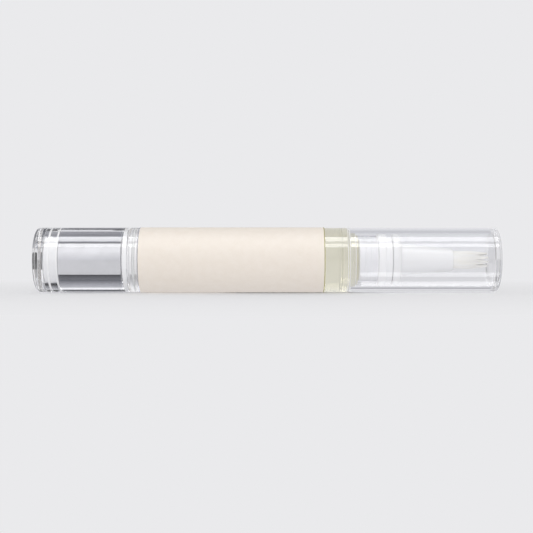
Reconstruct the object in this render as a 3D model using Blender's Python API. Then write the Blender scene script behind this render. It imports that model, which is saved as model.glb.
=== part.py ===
"""A clear twist-up brush pen for cuticle oil, lying along X with its knob at -X and its cap at +X.

The knob turns a drive tube, which is keyed to a lead screw. The screw runs through a nut pressed into the
barrel and pushes a piston, and the piston pushes the oil through a feed tube into the brush. A ring with
two spring arms clicks along teeth inside the nut's skirt and keeps the knob from turning back. Sizes are
in metres, and the origin is on the axis, halfway along the capped pen."""

import math
import random

import bmesh
import bpy
from mathutils import Matrix, Vector

# How pieces meet
SEAT_GAP = 0.0003  # between faces that rest on each other
FIT_GAP = 0.00015  # all round a piece that is pressed in, slides or turns
EDGE_BREAK = 0.0002  # chamfer on a moulded edge
CUT_OVERRUN = 0.0005  # how far a cutter reaches past what it cuts

# Body
BODY_DIAMETER = 0.0170
END_EDGE = 0.0010  # rounding round both flat ends

# Knob shell
KNOB_LENGTH = 0.0245
KNOB_WALL = 0.0023
KNOB_END_THICKNESS = 0.0024
KNOB_CLEAR_MOUTH = 0.0017  # stretch of bare clear wall in front of the sleeve

# Knob plug and sleeve
PLUG_LENGTH = 0.0034
PLUG_FLOOR = 0.0012
SLEEVE_WALL = 0.00055
SLEEVE_CHAMFER = 0.0012

# Drive tube
TAIL_SHARE = 0.745  # of the sleeve's bore, for the hole that the tube's tail passes
TAIL_WALL = 0.0009
TUBE_SHARE = 0.48  # of the chamber's bore, for the tube's nose
STEP_WEB = 0.0010  # between the wide bore's end and the ratchet's seat
COLLAR_LENGTH = 0.0022
SEAL_WIDTH = 0.00095
JOURNAL_LENGTH = 0.0029
SNAP_HEIGHT = 0.0002
SNAP_WIDTH = 0.0007
KEY_LENGTH = 0.0030

# Lead screw
SCREW_SHARE = 0.32  # of the chamber's bore
FLATS_SHARE = 0.71  # of the screw's radius, as the others below
NECK_SHARE = 0.58
HEAD_SHARE = 1.03
SCREW_CLEARANCE = 0.0003  # from the screw to the tube's bore
TAIL_CLEARANCE = 0.0007  # from the screw's end to the plug's floor

# Ratchet
TEETH = 12
ARMS = 2
RATCHET_LENGTH = 0.0036
RATCHET_SHARES = (0.295, 0.205, 0.235, 0.265)  # of the ring's room, for hub, slot under an arm, arm and tooth
STEEP_FACE_SHARE = 0.06  # share of a tooth's pitch taken by its steep face
PAWL_START_SHARE = 0.12  # where the pawl's end face stands, as a share of the pitch
PAWL_SHARE = 0.70  # width of the pawl, as a share of the pitch
PAWL_REACH_SHARE = 0.65  # how deep the pawl stands in its tooth, as a share of its depth
ARM_SPAN = math.radians(118)
ARM_ROOT_SPAN = math.radians(16)

# Thread insert
INSERT_LENGTH = 0.0140
JOURNAL_SHARE = 0.785  # of the chamber's bore, for the skirt's bore
NUT_LENGTH = 0.0030

# Barrel
BARREL_LENGTH = 0.0571
BARREL_WALL = 0.0015
SHOULDER_THICKNESS = 0.0015
SHOULDER_EDGE = 0.0003
CHAMBER_CORNER = 0.0008
CAP_SEAT_LENGTH = 0.0020
NECK_LENGTH = 0.0076
NECK_WALL = 0.00075
NECK_CLEARANCE = 0.0007  # from the neck to the cap's bore

# Label
LABEL_LENGTH = 0.0484
LABEL_START = 0.0023  # from the barrel's back edge
LABEL_THICKNESS = 0.0001
LABEL_GAP = 0.00003

# Piston
PISTON_LENGTH = 0.0090
PISTON_NOSE = 0.0012
PISTON_LAND = 0.0016
PISTON_WAIST_LENGTH = 0.0020
PISTON_WAIST_DEPTH = 0.0010
PISTON_LIP = 0.0010
PISTON_SOCKET_DEPTH = 0.0045
RING_GROOVE_DEPTH = 0.0009

# Neck fitting
PLUG_REACH = 0.0050  # from the flange back into the neck
PLUG_RIB_HEIGHT = 0.0001
PLUG_RIB_WIDTH = 0.0006
FLANGE_THICKNESS = 0.00205
FLANGE_CLEARANCE = 0.00045  # from the flange to the cap's bore
FLANGE_EDGE = 0.0003
SPIGOT_LENGTH = 0.00165
SPIGOT_SHARE = 0.89  # of the flange

# Brush holder
SHANK_SHARE = 0.55  # of the neck's bore
SHANK_RECESS = 0.0003  # how far the shank's end stands inside the plug's end
FOOT_LENGTH = 0.0019
FOOT_CLEARANCE = 0.0004  # from the foot ring to the cap's bore
FOOT_BACK_EDGE = 0.0004
FOOT_FRONT_EDGE = 0.0011
CONE_LENGTH = 0.0139
CONE_BASE_SHARE = 0.606  # of the foot
CONE_BASE_FILLET = 0.0006
CONE_TIP_RADIUS = 0.0030
SOCKET_WALL = 0.0005
SOCKET_DEPTH = 0.0023

# Feed tube
FEED_RADIUS = 0.0009
FEED_BORE_RADIUS = 0.0005

# Bristles
BRISTLE_LENGTH = 0.0097  # from the holder's mouth to the longest tip
LATTICE_PITCH = 0.0003
STRAND_INSET = 0.000028
STRAND_TIP_SHARE = 0.55  # a strand's width at its tip, as a share of its width at its root
TUFTS_AROUND = 5
TUFT_RADIUS_SHARE = 0.62
TUFT_PULL_SHARE = 0.22  # how far a tip leans towards the middle of its tuft
BRUSH_TAPER_SHARE = 0.16  # how far a tip leans towards the axis
ROUNDING_SHARE = 0.07  # how much shorter the outermost strands are
LENGTH_SPREAD_SHARE = 0.03
STRAND_SEED = 7

# Cap
CAP_WALL = 0.0012
CAP_END_THICKNESS = 0.0015
CAP_INNER_CORNER = 0.0007
TIP_CLEARANCE = 0.0008  # from the longest bristle to the cap's end wall

# Facets
SHELL_SIDES = 40
INNER_SIDES = 28
SMALL_SIDES = 16
SEAL_SIDES = 8  # round the section of a seal
ARC_CHORD = 0.00035  # a rounded edge gets one step for each of these, along its radius
ARC_STEPS_ROUND = 10  # steps along each round side of a keyed hole, and along an arm
FILLET_ROOM_SHARE = 0.48  # the most of a side that one rounded end may take
WELD = 1e-7
SMOOTH_ANGLE = math.radians(30)

# Radii, from the outside in
BODY_RADIUS = BODY_DIAMETER / 2
KNOB_BORE = BODY_RADIUS - KNOB_WALL
SLEEVE_RADIUS = KNOB_BORE - FIT_GAP
SLEEVE_BORE = SLEEVE_RADIUS - SLEEVE_WALL
TAIL_HOLE = TAIL_SHARE * SLEEVE_BORE
TAIL_RADIUS = TAIL_HOLE - FIT_GAP
REAR_BORE = TAIL_RADIUS - TAIL_WALL
CHAMBER_BORE = BODY_RADIUS - BARREL_WALL
COLLAR_RADIUS = CHAMBER_BORE - FIT_GAP
CAP_BORE = BODY_RADIUS - CAP_WALL
CAP_SEAT_RADIUS = CAP_BORE - FIT_GAP
NECK_RADIUS = CAP_BORE - NECK_CLEARANCE
NECK_BORE = NECK_RADIUS - NECK_WALL
SHANK_RADIUS = SHANK_SHARE * NECK_BORE
FLANGE_RADIUS = CAP_BORE - FLANGE_CLEARANCE
SPIGOT_RADIUS = SPIGOT_SHARE * FLANGE_RADIUS
FOOT_RADIUS = CAP_BORE - FOOT_CLEARANCE
CONE_BASE_RADIUS = CONE_BASE_SHARE * FOOT_RADIUS
LABEL_BORE = BODY_RADIUS + LABEL_GAP

# Radii of the drive, inside the chamber's bore
SCREW_RADIUS = SCREW_SHARE * CHAMBER_BORE
SCREW_HALF_FLATS = FLATS_SHARE * SCREW_RADIUS
SCREW_NECK_RADIUS = NECK_SHARE * SCREW_RADIUS
SCREW_HEAD_RADIUS = HEAD_SHARE * SCREW_RADIUS
NUT_HOLE = SCREW_RADIUS + FIT_GAP
TUBE_BORE = SCREW_RADIUS + SCREW_CLEARANCE
TUBE_RADIUS = TUBE_SHARE * CHAMBER_BORE
TUBE_HALF_FLATS = (TUBE_BORE + TUBE_RADIUS) / 2
JOURNAL_BORE = JOURNAL_SHARE * CHAMBER_BORE
JOURNAL_RADIUS = JOURNAL_BORE - FIT_GAP
RATCHET_ROOM = JOURNAL_RADIUS - TUBE_RADIUS - 2 * FIT_GAP
HUB_WALL, ARM_SLOT, ARM_THICKNESS, TOOTH_DEPTH = (share * RATCHET_ROOM for share in RATCHET_SHARES)
HUB_RADIUS = TUBE_RADIUS + FIT_GAP + HUB_WALL
ARM_INNER_RADIUS = HUB_RADIUS + ARM_SLOT
ARM_OUTER_RADIUS = ARM_INNER_RADIUS + ARM_THICKNESS
TOOTH_CREST = ARM_OUTER_RADIUS + FIT_GAP
TOOTH_VALLEY = TOOTH_CREST + TOOTH_DEPTH
PAWL_RADIUS = TOOTH_CREST + PAWL_REACH_SHARE * TOOTH_DEPTH

# Places along the axis
FRONT_LENGTH = (
    NECK_LENGTH + SEAT_GAP + FLANGE_THICKNESS + SPIGOT_LENGTH + SEAT_GAP + FOOT_LENGTH + CONE_LENGTH
    + BRISTLE_LENGTH + TIP_CLEARANCE + CAP_END_THICKNESS
)
TOTAL_LENGTH = KNOB_LENGTH + SEAT_GAP + BARREL_LENGTH + FRONT_LENGTH
KNOB_BACK = -TOTAL_LENGTH / 2
KNOB_MOUTH = KNOB_BACK + KNOB_LENGTH
KNOB_BORE_END = KNOB_BACK + KNOB_END_THICKNESS
PLUG_BACK = KNOB_BORE_END + SEAT_GAP
PLUG_FRONT = PLUG_BACK + PLUG_LENGTH
SLEEVE_BACK = PLUG_FRONT + SEAT_GAP
SLEEVE_FRONT = KNOB_MOUTH - KNOB_CLEAR_MOUTH
BARREL_BACK = KNOB_MOUTH + SEAT_GAP
SHOULDER = BARREL_BACK + BARREL_LENGTH
CHAMBER_END = SHOULDER - SHOULDER_THICKNESS
CAP_SEAT_END = SHOULDER + CAP_SEAT_LENGTH
NECK_RIM = SHOULDER + NECK_LENGTH
COLLAR_BACK = BARREL_BACK + FIT_GAP
COLLAR_FRONT = COLLAR_BACK + COLLAR_LENGTH
INSERT_BACK = COLLAR_FRONT + SEAT_GAP
INSERT_FRONT = INSERT_BACK + INSERT_LENGTH
NUT_BACK = INSERT_FRONT - NUT_LENGTH
JOURNAL_FRONT = INSERT_BACK + JOURNAL_LENGTH
TEETH_BACK = JOURNAL_FRONT + FIT_GAP
RATCHET_BACK = JOURNAL_FRONT + SEAT_GAP
RATCHET_FRONT = RATCHET_BACK + RATCHET_LENGTH
TEETH_FRONT = RATCHET_FRONT + SEAT_GAP
TUBE_BACK = PLUG_BACK + PLUG_FLOOR + SEAT_GAP
TUBE_FRONT = NUT_BACK - SEAT_GAP
PISTON_BACK = INSERT_FRONT + 2 * SEAT_GAP
PISTON_FRONT = PISTON_BACK + PISTON_LENGTH
SCREW_BACK = PLUG_BACK + PLUG_FLOOR + TAIL_CLEARANCE
SCREW_FRONT = PISTON_BACK - SEAT_GAP
FLANGE_BACK = NECK_RIM + SEAT_GAP
FLANGE_FRONT = FLANGE_BACK + FLANGE_THICKNESS
SPIGOT_FRONT = FLANGE_FRONT + SPIGOT_LENGTH
FITTING_BACK = FLANGE_BACK - PLUG_REACH
FOOT_BACK = SPIGOT_FRONT + SEAT_GAP
FOOT_FRONT = FOOT_BACK + FOOT_LENGTH
SHANK_BACK = FITTING_BACK + SHANK_RECESS
HOLDER_MOUTH = FOOT_FRONT + CONE_LENGTH
SOCKET_END = HOLDER_MOUTH - SOCKET_DEPTH
BRUSH_TIP = HOLDER_MOUTH + BRISTLE_LENGTH
CAP_MOUTH = SHOULDER + SEAT_GAP
CAP_BORE_END = BRUSH_TIP + TIP_CLEARANCE
CAP_END = CAP_BORE_END + CAP_END_THICKNESS


def clear_scene():
    for item in list(bpy.data.objects):
        bpy.data.objects.remove(item)


def finish_of(name, colour, roughness, metallic=0.0, see_through=0.0):
    """A material of one Principled shader."""
    material = bpy.data.materials.new(name)
    material.use_nodes = True
    shader = material.node_tree.nodes["Principled BSDF"]
    shader.inputs["Base Color"].default_value = (*colour, 1.0)
    shader.inputs["Roughness"].default_value = roughness
    shader.inputs["Metallic"].default_value = metallic
    shader.inputs["Transmission Weight"].default_value = see_through
    return material


def arc(corner, to_last, to_next, fillet):
    """Points of the arc that rounds a corner, limited by the length of the sides that meet there."""
    half = to_last.angle(to_next) / 2
    room = min(to_last.length, to_next.length) * FILLET_ROOM_SHARE
    along = min(fillet / math.tan(half), room)
    middle = to_last.normalized() + to_next.normalized()
    centre = corner + middle.normalized() * along / math.cos(half)
    start = corner + to_last.normalized() * along - centre
    end = corner + to_next.normalized() * along - centre
    turn = -start.angle_signed(end)
    steps = max(1, round(fillet / ARC_CHORD))
    return [centre + Matrix.Rotation(turn * step / steps, 2) @ start for step in range(steps + 1)]


def rounded(corners):
    """An outline's points, from corners given as (x, radius) or, if they are rounded, (x, radius, fillet)."""
    points = []
    for index, corner in enumerate(corners):
        here = Vector(corner[:2])
        if len(corner) == 2:
            points.append(here)
            continue
        to_last = Vector(corners[index - 1][:2]) - here
        to_next = Vector(corners[(index + 1) % len(corners)][:2]) - here
        points += arc(here, to_last, to_next, corner[2])
    return points


def placed(name, mesh, material=None):
    """An object from a bmesh. One with no material is a cutter or a half of a join, and isn't rendered."""
    bmesh.ops.recalc_face_normals(mesh, faces=mesh.faces)
    data = bpy.data.meshes.new(name)
    mesh.to_mesh(data)
    mesh.free()
    data.shade_smooth()
    data.set_sharp_from_angle(angle=SMOOTH_ANGLE)
    item = bpy.data.objects.new(name, data)
    bpy.context.scene.collection.objects.link(item)
    if material:
        data.materials.append(material)
    else:
        item.hide_render = True
        item.display_type = "WIRE"
    return item


def turned(name, corners, sides, material=None):
    """A solid turned about X from half its section, with a flat facet underneath so that it can lie still."""
    points = rounded(corners)
    mesh = bmesh.new()
    chain = [mesh.verts.new((point.x, 0, point.y)) for point in points]
    edges = [mesh.edges.new(pair) for pair in zip(chain, chain[1:])]
    if points[0].y or points[-1].y:
        edges.append(mesh.edges.new((chain[-1], chain[0])))
    half_facet = Matrix.Rotation(math.pi / sides, 3, "X")
    bmesh.ops.rotate(mesh, verts=chain, cent=(0, 0, 0), matrix=half_facet)
    bmesh.ops.spin(
        mesh, geom=chain + edges, cent=(0, 0, 0), axis=(1, 0, 0), angle=math.tau, steps=sides, use_merge=True
    )
    bmesh.ops.remove_doubles(mesh, verts=mesh.verts, dist=WELD)
    return placed(name, mesh, material)


def extruded(name, outline, back, front, material=None):
    """A prism along X, from an outline of (y, z) points."""
    mesh = bmesh.new()
    face = mesh.faces.new([mesh.verts.new((back, y, z)) for y, z in outline])
    grown = bmesh.ops.extrude_face_region(mesh, geom=[face])["geom"]
    moved = [part for part in grown if isinstance(part, bmesh.types.BMVert)]
    bmesh.ops.translate(mesh, verts=moved, vec=(front - back, 0, 0))
    return placed(name, mesh, material)


def apply_tool(target, tool, operation):
    modifier = target.modifiers.new(tool.name, "BOOLEAN")
    modifier.operation = operation
    modifier.object = tool


def polar(radius, angle):
    return radius * math.cos(angle), radius * math.sin(angle)


def sweep(radius, start, end):
    """Points along an arc about the axis, from one angle to another."""
    angles = [start + (end - start) * step / ARC_STEPS_ROUND for step in range(ARC_STEPS_ROUND + 1)]
    return [polar(radius, angle) for angle in angles]


def keyed_outline(radius, half_flats):
    """A circle with two flats, above and below."""
    edge = math.asin(half_flats / radius)
    return sweep(radius, -edge, edge) + sweep(radius, math.pi - edge, math.pi + edge)


def seal_outline(middle, inner_radius, outer_radius):
    """The round section of a seal ring, as points of a turned outline."""
    section = (outer_radius - inner_radius) / 2
    points = []
    for step in range(SEAL_SIDES):
        x, rise = polar(section, math.tau * (step + 0.5) / SEAL_SIDES)
        points.append((middle + x, inner_radius + section + rise))
    return points


def make_cap_shell():
    corners = [
        (CAP_END, 0),
        (CAP_END, BODY_RADIUS, END_EDGE),
        (CAP_MOUTH, BODY_RADIUS, EDGE_BREAK),
        (CAP_MOUTH, CAP_BORE, EDGE_BREAK),
        (CAP_BORE_END, CAP_BORE, CAP_INNER_CORNER),
        (CAP_BORE_END, 0),
    ]
    material = finish_of("clear_cap", (0.93, 0.94, 0.96), 0.03, 0, 1)
    return turned("cap_shell", corners, SHELL_SIDES, material)


def make_barrel_tube():
    corners = [
        (BARREL_BACK, BODY_RADIUS, EDGE_BREAK),
        (SHOULDER, BODY_RADIUS, SHOULDER_EDGE),
        (SHOULDER, CAP_SEAT_RADIUS),
        (CAP_SEAT_END, CAP_SEAT_RADIUS, EDGE_BREAK),
        (CAP_SEAT_END, NECK_RADIUS),
        (NECK_RIM, NECK_RADIUS, EDGE_BREAK),
        (NECK_RIM, NECK_BORE),
        (CHAMBER_END, NECK_BORE),
        (CHAMBER_END, CHAMBER_BORE, CHAMBER_CORNER),
        (BARREL_BACK, CHAMBER_BORE, EDGE_BREAK),
    ]
    material = finish_of("clear_barrel", (0.93, 0.94, 0.95), 0.04, 0, 1)
    return turned("barrel_tube", corners, SHELL_SIDES, material)


def make_label():
    back = BARREL_BACK + LABEL_START
    front = back + LABEL_LENGTH
    corners = [
        (back, LABEL_BORE),
        (back, LABEL_BORE + LABEL_THICKNESS),
        (front, LABEL_BORE + LABEL_THICKNESS),
        (front, LABEL_BORE),
    ]
    return turned("label", corners, SHELL_SIDES, finish_of("cream_label", (0.87, 0.79, 0.71), 0.6))


def make_oil_fill():
    back = PISTON_FRONT + SEAT_GAP
    shoulder = CHAMBER_END - FIT_GAP
    front = FITTING_BACK - SEAT_GAP
    chamber = CHAMBER_BORE - FIT_GAP
    neck = NECK_BORE - FIT_GAP
    corners = [
        (back, 0),
        (back, chamber),
        (shoulder, chamber, CHAMBER_CORNER),
        (shoulder, neck),
        (front, neck),
        (front, 0),
    ]
    return turned("oil_fill", corners, INNER_SIDES, finish_of("pale_oil", (0.87, 0.86, 0.70), 0.02, 0, 1))


def make_neck_fitting():
    plug = NECK_BORE - FIT_GAP
    hole = SHANK_RADIUS + FIT_GAP
    rib_backs = [FITTING_BACK + place * (NECK_RIM - FITTING_BACK) / 3 for place in (1, 2)]
    ribs = []
    for rib in rib_backs:
        ribs += [
            (rib - PLUG_RIB_WIDTH / 2, plug - PLUG_RIB_HEIGHT),
            (rib, plug),
            (rib + PLUG_RIB_WIDTH / 2, plug - PLUG_RIB_HEIGHT),
        ]
    corners = [
        (FITTING_BACK, hole),
        (FITTING_BACK, plug - PLUG_RIB_HEIGHT, EDGE_BREAK),
        *ribs,
        (FLANGE_BACK, plug - PLUG_RIB_HEIGHT),
        (FLANGE_BACK, FLANGE_RADIUS, FLANGE_EDGE),
        (FLANGE_FRONT, FLANGE_RADIUS, FLANGE_EDGE),
        (FLANGE_FRONT, SPIGOT_RADIUS),
        (SPIGOT_FRONT, SPIGOT_RADIUS, EDGE_BREAK),
        (SPIGOT_FRONT, hole),
    ]
    return turned("neck_fitting", corners, INNER_SIDES, finish_of("white_fitting", (0.90, 0.90, 0.90), 0.35))


def make_brush_holder():
    hole = FEED_RADIUS + FIT_GAP
    socket = CONE_TIP_RADIUS - SOCKET_WALL
    corners = [
        (SHANK_BACK, hole),
        (SHANK_BACK, SHANK_RADIUS, EDGE_BREAK),
        (FOOT_BACK, SHANK_RADIUS),
        (FOOT_BACK, FOOT_RADIUS, FOOT_BACK_EDGE),
        (FOOT_FRONT, FOOT_RADIUS, FOOT_FRONT_EDGE),
        (FOOT_FRONT, CONE_BASE_RADIUS, CONE_BASE_FILLET),
        (HOLDER_MOUTH, CONE_TIP_RADIUS, EDGE_BREAK),
        (HOLDER_MOUTH, socket),
        (SOCKET_END, socket),
        (SOCKET_END, hole),
    ]
    return turned("brush_holder", corners, INNER_SIDES, finish_of("white_holder", (0.91, 0.91, 0.92), 0.3))


def make_feed_tube():
    back = SHANK_BACK + SEAT_GAP
    front = SOCKET_END - FIT_GAP
    corners = [(back, FEED_BORE_RADIUS), (back, FEED_RADIUS), (front, FEED_RADIUS), (front, FEED_BORE_RADIUS)]
    material = finish_of("clear_feed_tube", (0.9, 0.9, 0.88), 0.2, 0, 0.5)
    return turned("feed_tube", corners, SMALL_SIDES, material)


def tuft_middles(radius):
    """Middles of the small tufts into which the brush parts: one on the axis and the others round it."""
    around = [math.tau * turn / TUFTS_AROUND for turn in range(TUFTS_AROUND)]
    ring = [Vector((*polar(radius * TUFT_RADIUS_SHARE, angle), 0)) for angle in around]
    return [Vector((0, 0, 0)), *ring]


def raise_strand(face, radius, length, middles, dice):
    """Moves a strand's tip out along the brush, draws it in to its tuft and thins it."""
    root = face.calc_center_median()
    flat_root = Vector((root.x, root.y, 0))
    middle = min(middles, key=lambda place: (place - flat_root).length)
    lean = (middle - flat_root) * TUFT_PULL_SHARE - middle * BRUSH_TAPER_SHARE
    shorter = ROUNDING_SHARE * (flat_root.length / radius) ** 2 + LENGTH_SPREAD_SHARE * dice.random()
    tip = root + lean + Vector((0, 0, length * (1 - shorter)))
    for vertex in face.verts:
        vertex.co = tip + (vertex.co - root) * STRAND_TIP_SHARE


def make_bristles():
    """A backing slice in the holder's socket, whose front is a lattice of triangles that strands rise from."""
    backing_front = HOLDER_MOUTH - SEAT_GAP
    backing_back = SOCKET_END + SEAT_GAP
    radius = CONE_TIP_RADIUS - SOCKET_WALL - FIT_GAP
    cells = 2 * math.ceil(radius / LATTICE_PITCH)
    mesh = bmesh.new()
    bmesh.ops.create_grid(mesh, x_segments=cells, y_segments=cells, size=cells * LATTICE_PITCH / 2)
    reach = [(face, max(vertex.co.length for vertex in face.verts)) for face in mesh.faces]
    bmesh.ops.delete(mesh, geom=[face for face, far in reach if far > radius], context="FACES")
    roots = bmesh.ops.triangulate(mesh, faces=mesh.faces, quad_method="FIXED")["faces"]
    rim = [edge for edge in mesh.edges if edge.is_boundary]
    skirt = bmesh.ops.extrude_edge_only(mesh, edges=rim)["geom"]
    lowered = [part for part in skirt if isinstance(part, bmesh.types.BMVert)]
    bmesh.ops.translate(mesh, verts=lowered, vec=(0, 0, backing_back - backing_front))
    bmesh.ops.edgeloop_fill(mesh, edges=[edge for edge in mesh.edges if edge.is_boundary])
    bmesh.ops.inset_individual(mesh, faces=roots, thickness=STRAND_INSET, use_even_offset=True)
    strands = bmesh.ops.extrude_discrete_faces(mesh, faces=roots)["faces"]
    middles = tuft_middles(radius)
    dice = random.Random(STRAND_SEED)
    for face in strands:
        raise_strand(face, radius, BRUSH_TIP - backing_front, middles, dice)
    brush = placed("bristles", mesh, finish_of("cream_bristles", (0.93, 0.90, 0.86), 0.5))
    brush.rotation_euler = (0, math.pi / 2, 0)
    brush.location = (backing_front, 0, 0)
    print("strands", len(strands))
    return brush


def make_thread_insert():
    """The nut and its skirt, in one moulding: journal, ratchet teeth, nose bearing and threaded hole."""
    outer = COLLAR_RADIUS
    bearing = TUBE_RADIUS + FIT_GAP
    snap_middle = (INSERT_BACK + JOURNAL_FRONT) / 2
    groove_half = SNAP_WIDTH / 2 + FIT_GAP
    groove = JOURNAL_BORE + SNAP_HEIGHT
    corners = [
        (INSERT_BACK, outer, EDGE_BREAK),
        (INSERT_FRONT, outer, EDGE_BREAK),
        (INSERT_FRONT, NUT_HOLE),
        (NUT_BACK, NUT_HOLE),
        (NUT_BACK, bearing),
        (TEETH_BACK, bearing),
        (TEETH_BACK, JOURNAL_BORE),
        (snap_middle + groove_half, JOURNAL_BORE),
        (snap_middle + groove_half, groove),
        (snap_middle - groove_half, groove),
        (snap_middle - groove_half, JOURNAL_BORE),
        (INSERT_BACK, JOURNAL_BORE),
    ]
    insert = turned("thread_insert", corners, INNER_SIDES, finish_of("white_insert", (0.86, 0.87, 0.88), 0.4))
    pitch = math.tau / TEETH
    outline = []
    for tooth in range(TEETH):
        start = tooth * pitch
        outline.append(polar(TOOTH_CREST, start))
        outline.append(polar(TOOTH_VALLEY, start + STEEP_FACE_SHARE * pitch))
        outline.append(polar((TOOTH_CREST + TOOTH_VALLEY) / 2, start + (1 + STEEP_FACE_SHARE) * pitch / 2))
    cutter = extruded("teeth_cutter", outline, TEETH_BACK - CUT_OVERRUN, TEETH_FRONT)
    apply_tool(insert, cutter, "DIFFERENCE")
    return insert


def arm_outline(root):
    """Half of the ratchet ring's edge: along the hub, back under an arm, round its pawl and out along it."""
    pitch = math.tau / TEETH
    tip = root - ARM_SPAN
    last_root = root - math.tau / ARMS
    return [
        *sweep(HUB_RADIUS, last_root + ARM_ROOT_SPAN, root),
        *sweep(ARM_INNER_RADIUS, root, tip),
        polar(PAWL_RADIUS, tip),
        *sweep(ARM_OUTER_RADIUS, tip + PAWL_SHARE * pitch, root + ARM_ROOT_SPAN),
    ]


def make_ratchet_ring():
    """Two spring arms trail behind their roots: their pawls slip forwards and catch a tooth backwards."""
    pitch = math.tau / TEETH
    outline = []
    for arm in range(ARMS):
        tip = arm * math.tau / ARMS + PAWL_START_SHARE * pitch
        outline += arm_outline(tip + ARM_SPAN)
    material = finish_of("white_ratchet", (0.90, 0.90, 0.88), 0.35)
    ring = extruded("ratchet_ring", outline, RATCHET_BACK, RATCHET_FRONT, material)
    hole = keyed_outline(TUBE_RADIUS + FIT_GAP, TUBE_HALF_FLATS + FIT_GAP)
    cutter = extruded("ratchet_key_cutter", hole, RATCHET_BACK - CUT_OVERRUN, RATCHET_FRONT + CUT_OVERRUN)
    apply_tool(ring, cutter, "DIFFERENCE")
    return ring


def make_drive_tube():
    """Tail, body under the sleeve, collar with the seal's groove, journal, ratchet seat and keyed nose."""
    body = SLEEVE_BORE - FIT_GAP
    body_back = SLEEVE_BACK + SLEEVE_WALL + (SLEEVE_BORE - TAIL_HOLE) + SEAT_GAP
    stop_back = SLEEVE_FRONT + SEAT_GAP
    groove_radius = COLLAR_RADIUS - SEAL_WIDTH
    groove_half = SEAL_WIDTH / 2 + FIT_GAP
    groove_middle = (COLLAR_BACK + COLLAR_FRONT) / 2
    snap_middle = (INSERT_BACK + JOURNAL_FRONT) / 2
    key_back = TUBE_FRONT - KEY_LENGTH
    rear_bore_end = JOURNAL_FRONT - STEP_WEB
    pilot = SCREW_HALF_FLATS / 2
    corners = [
        (TUBE_BACK, TAIL_RADIUS, EDGE_BREAK),
        (body_back, TAIL_RADIUS),
        (body_back, body, EDGE_BREAK),
        (stop_back, body),
        (stop_back, SLEEVE_RADIUS),
        (COLLAR_BACK, SLEEVE_RADIUS),
        (COLLAR_BACK, COLLAR_RADIUS, EDGE_BREAK),
        (groove_middle - groove_half, COLLAR_RADIUS),
        (groove_middle - groove_half, groove_radius),
        (groove_middle + groove_half, groove_radius),
        (groove_middle + groove_half, COLLAR_RADIUS),
        (COLLAR_FRONT, COLLAR_RADIUS, EDGE_BREAK),
        (COLLAR_FRONT, JOURNAL_RADIUS),
        (snap_middle - SNAP_WIDTH / 2, JOURNAL_RADIUS),
        (snap_middle, JOURNAL_RADIUS + SNAP_HEIGHT),
        (snap_middle + SNAP_WIDTH / 2, JOURNAL_RADIUS),
        (JOURNAL_FRONT, JOURNAL_RADIUS, EDGE_BREAK),
        (JOURNAL_FRONT, TUBE_RADIUS),
        (TUBE_FRONT, TUBE_RADIUS, EDGE_BREAK),
        (TUBE_FRONT, pilot),
        (key_back, pilot),
        (key_back, TUBE_BORE),
        (rear_bore_end, TUBE_BORE),
        (rear_bore_end, REAR_BORE),
        (TUBE_BACK, REAR_BORE),
    ]
    tube = turned("drive_tube", corners, INNER_SIDES, finish_of("white_drive", (0.88, 0.88, 0.89), 0.4))
    hole = keyed_outline(SCREW_RADIUS + FIT_GAP, SCREW_HALF_FLATS + FIT_GAP)
    key_cutter = extruded("key_cutter", hole, key_back - CUT_OVERRUN, TUBE_FRONT + CUT_OVERRUN)
    apply_tool(tube, key_cutter, "DIFFERENCE")
    reach = TUBE_RADIUS + CUT_OVERRUN
    for name, side in (("upper_flat_cutter", 1), ("lower_flat_cutter", -1)):
        low = side * TUBE_HALF_FLATS
        high = side * reach
        outline = [(-reach, low), (reach, low), (reach, high), (-reach, high)]
        apply_tool(tube, extruded(name, outline, RATCHET_BACK, RATCHET_FRONT), "DIFFERENCE")
    return tube


def make_drive_seal():
    middle = (COLLAR_BACK + COLLAR_FRONT) / 2
    outline = seal_outline(middle, COLLAR_RADIUS - SEAL_WIDTH + FIT_GAP / 2, CHAMBER_BORE - FIT_GAP / 2)
    return turned("drive_seal", outline, INNER_SIDES, finish_of("seal_rubber", (0.80, 0.80, 0.80), 0.5))


def make_knob_shell():
    corners = [
        (KNOB_BACK, 0),
        (KNOB_BACK, BODY_RADIUS, END_EDGE),
        (KNOB_MOUTH, BODY_RADIUS, EDGE_BREAK),
        (KNOB_MOUTH, KNOB_BORE, EDGE_BREAK),
        (KNOB_BORE_END, KNOB_BORE, EDGE_BREAK),
        (KNOB_BORE_END, 0),
    ]
    material = finish_of("clear_knob", (0.93, 0.94, 0.96), 0.03, 0, 1)
    return turned("knob_shell", corners, SHELL_SIDES, material)


def make_knob_sleeve():
    """A silvered sleeve, whose back end turns in at a chamfer round the drive tube's tail."""
    back_inside = SLEEVE_BACK + SLEEVE_WALL
    corners = [
        (SLEEVE_BACK, TAIL_HOLE),
        (SLEEVE_BACK, SLEEVE_RADIUS - SLEEVE_CHAMFER),
        (SLEEVE_BACK + SLEEVE_CHAMFER, SLEEVE_RADIUS),
        (SLEEVE_FRONT, SLEEVE_RADIUS, EDGE_BREAK),
        (SLEEVE_FRONT, SLEEVE_BORE),
        (back_inside + SLEEVE_BORE - TAIL_HOLE, SLEEVE_BORE),
        (back_inside, TAIL_HOLE),
    ]
    material = finish_of("silver_sleeve", (0.80, 0.80, 0.81), 0.12, 1.0)
    return turned("knob_sleeve", corners, INNER_SIDES, material)


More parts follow.
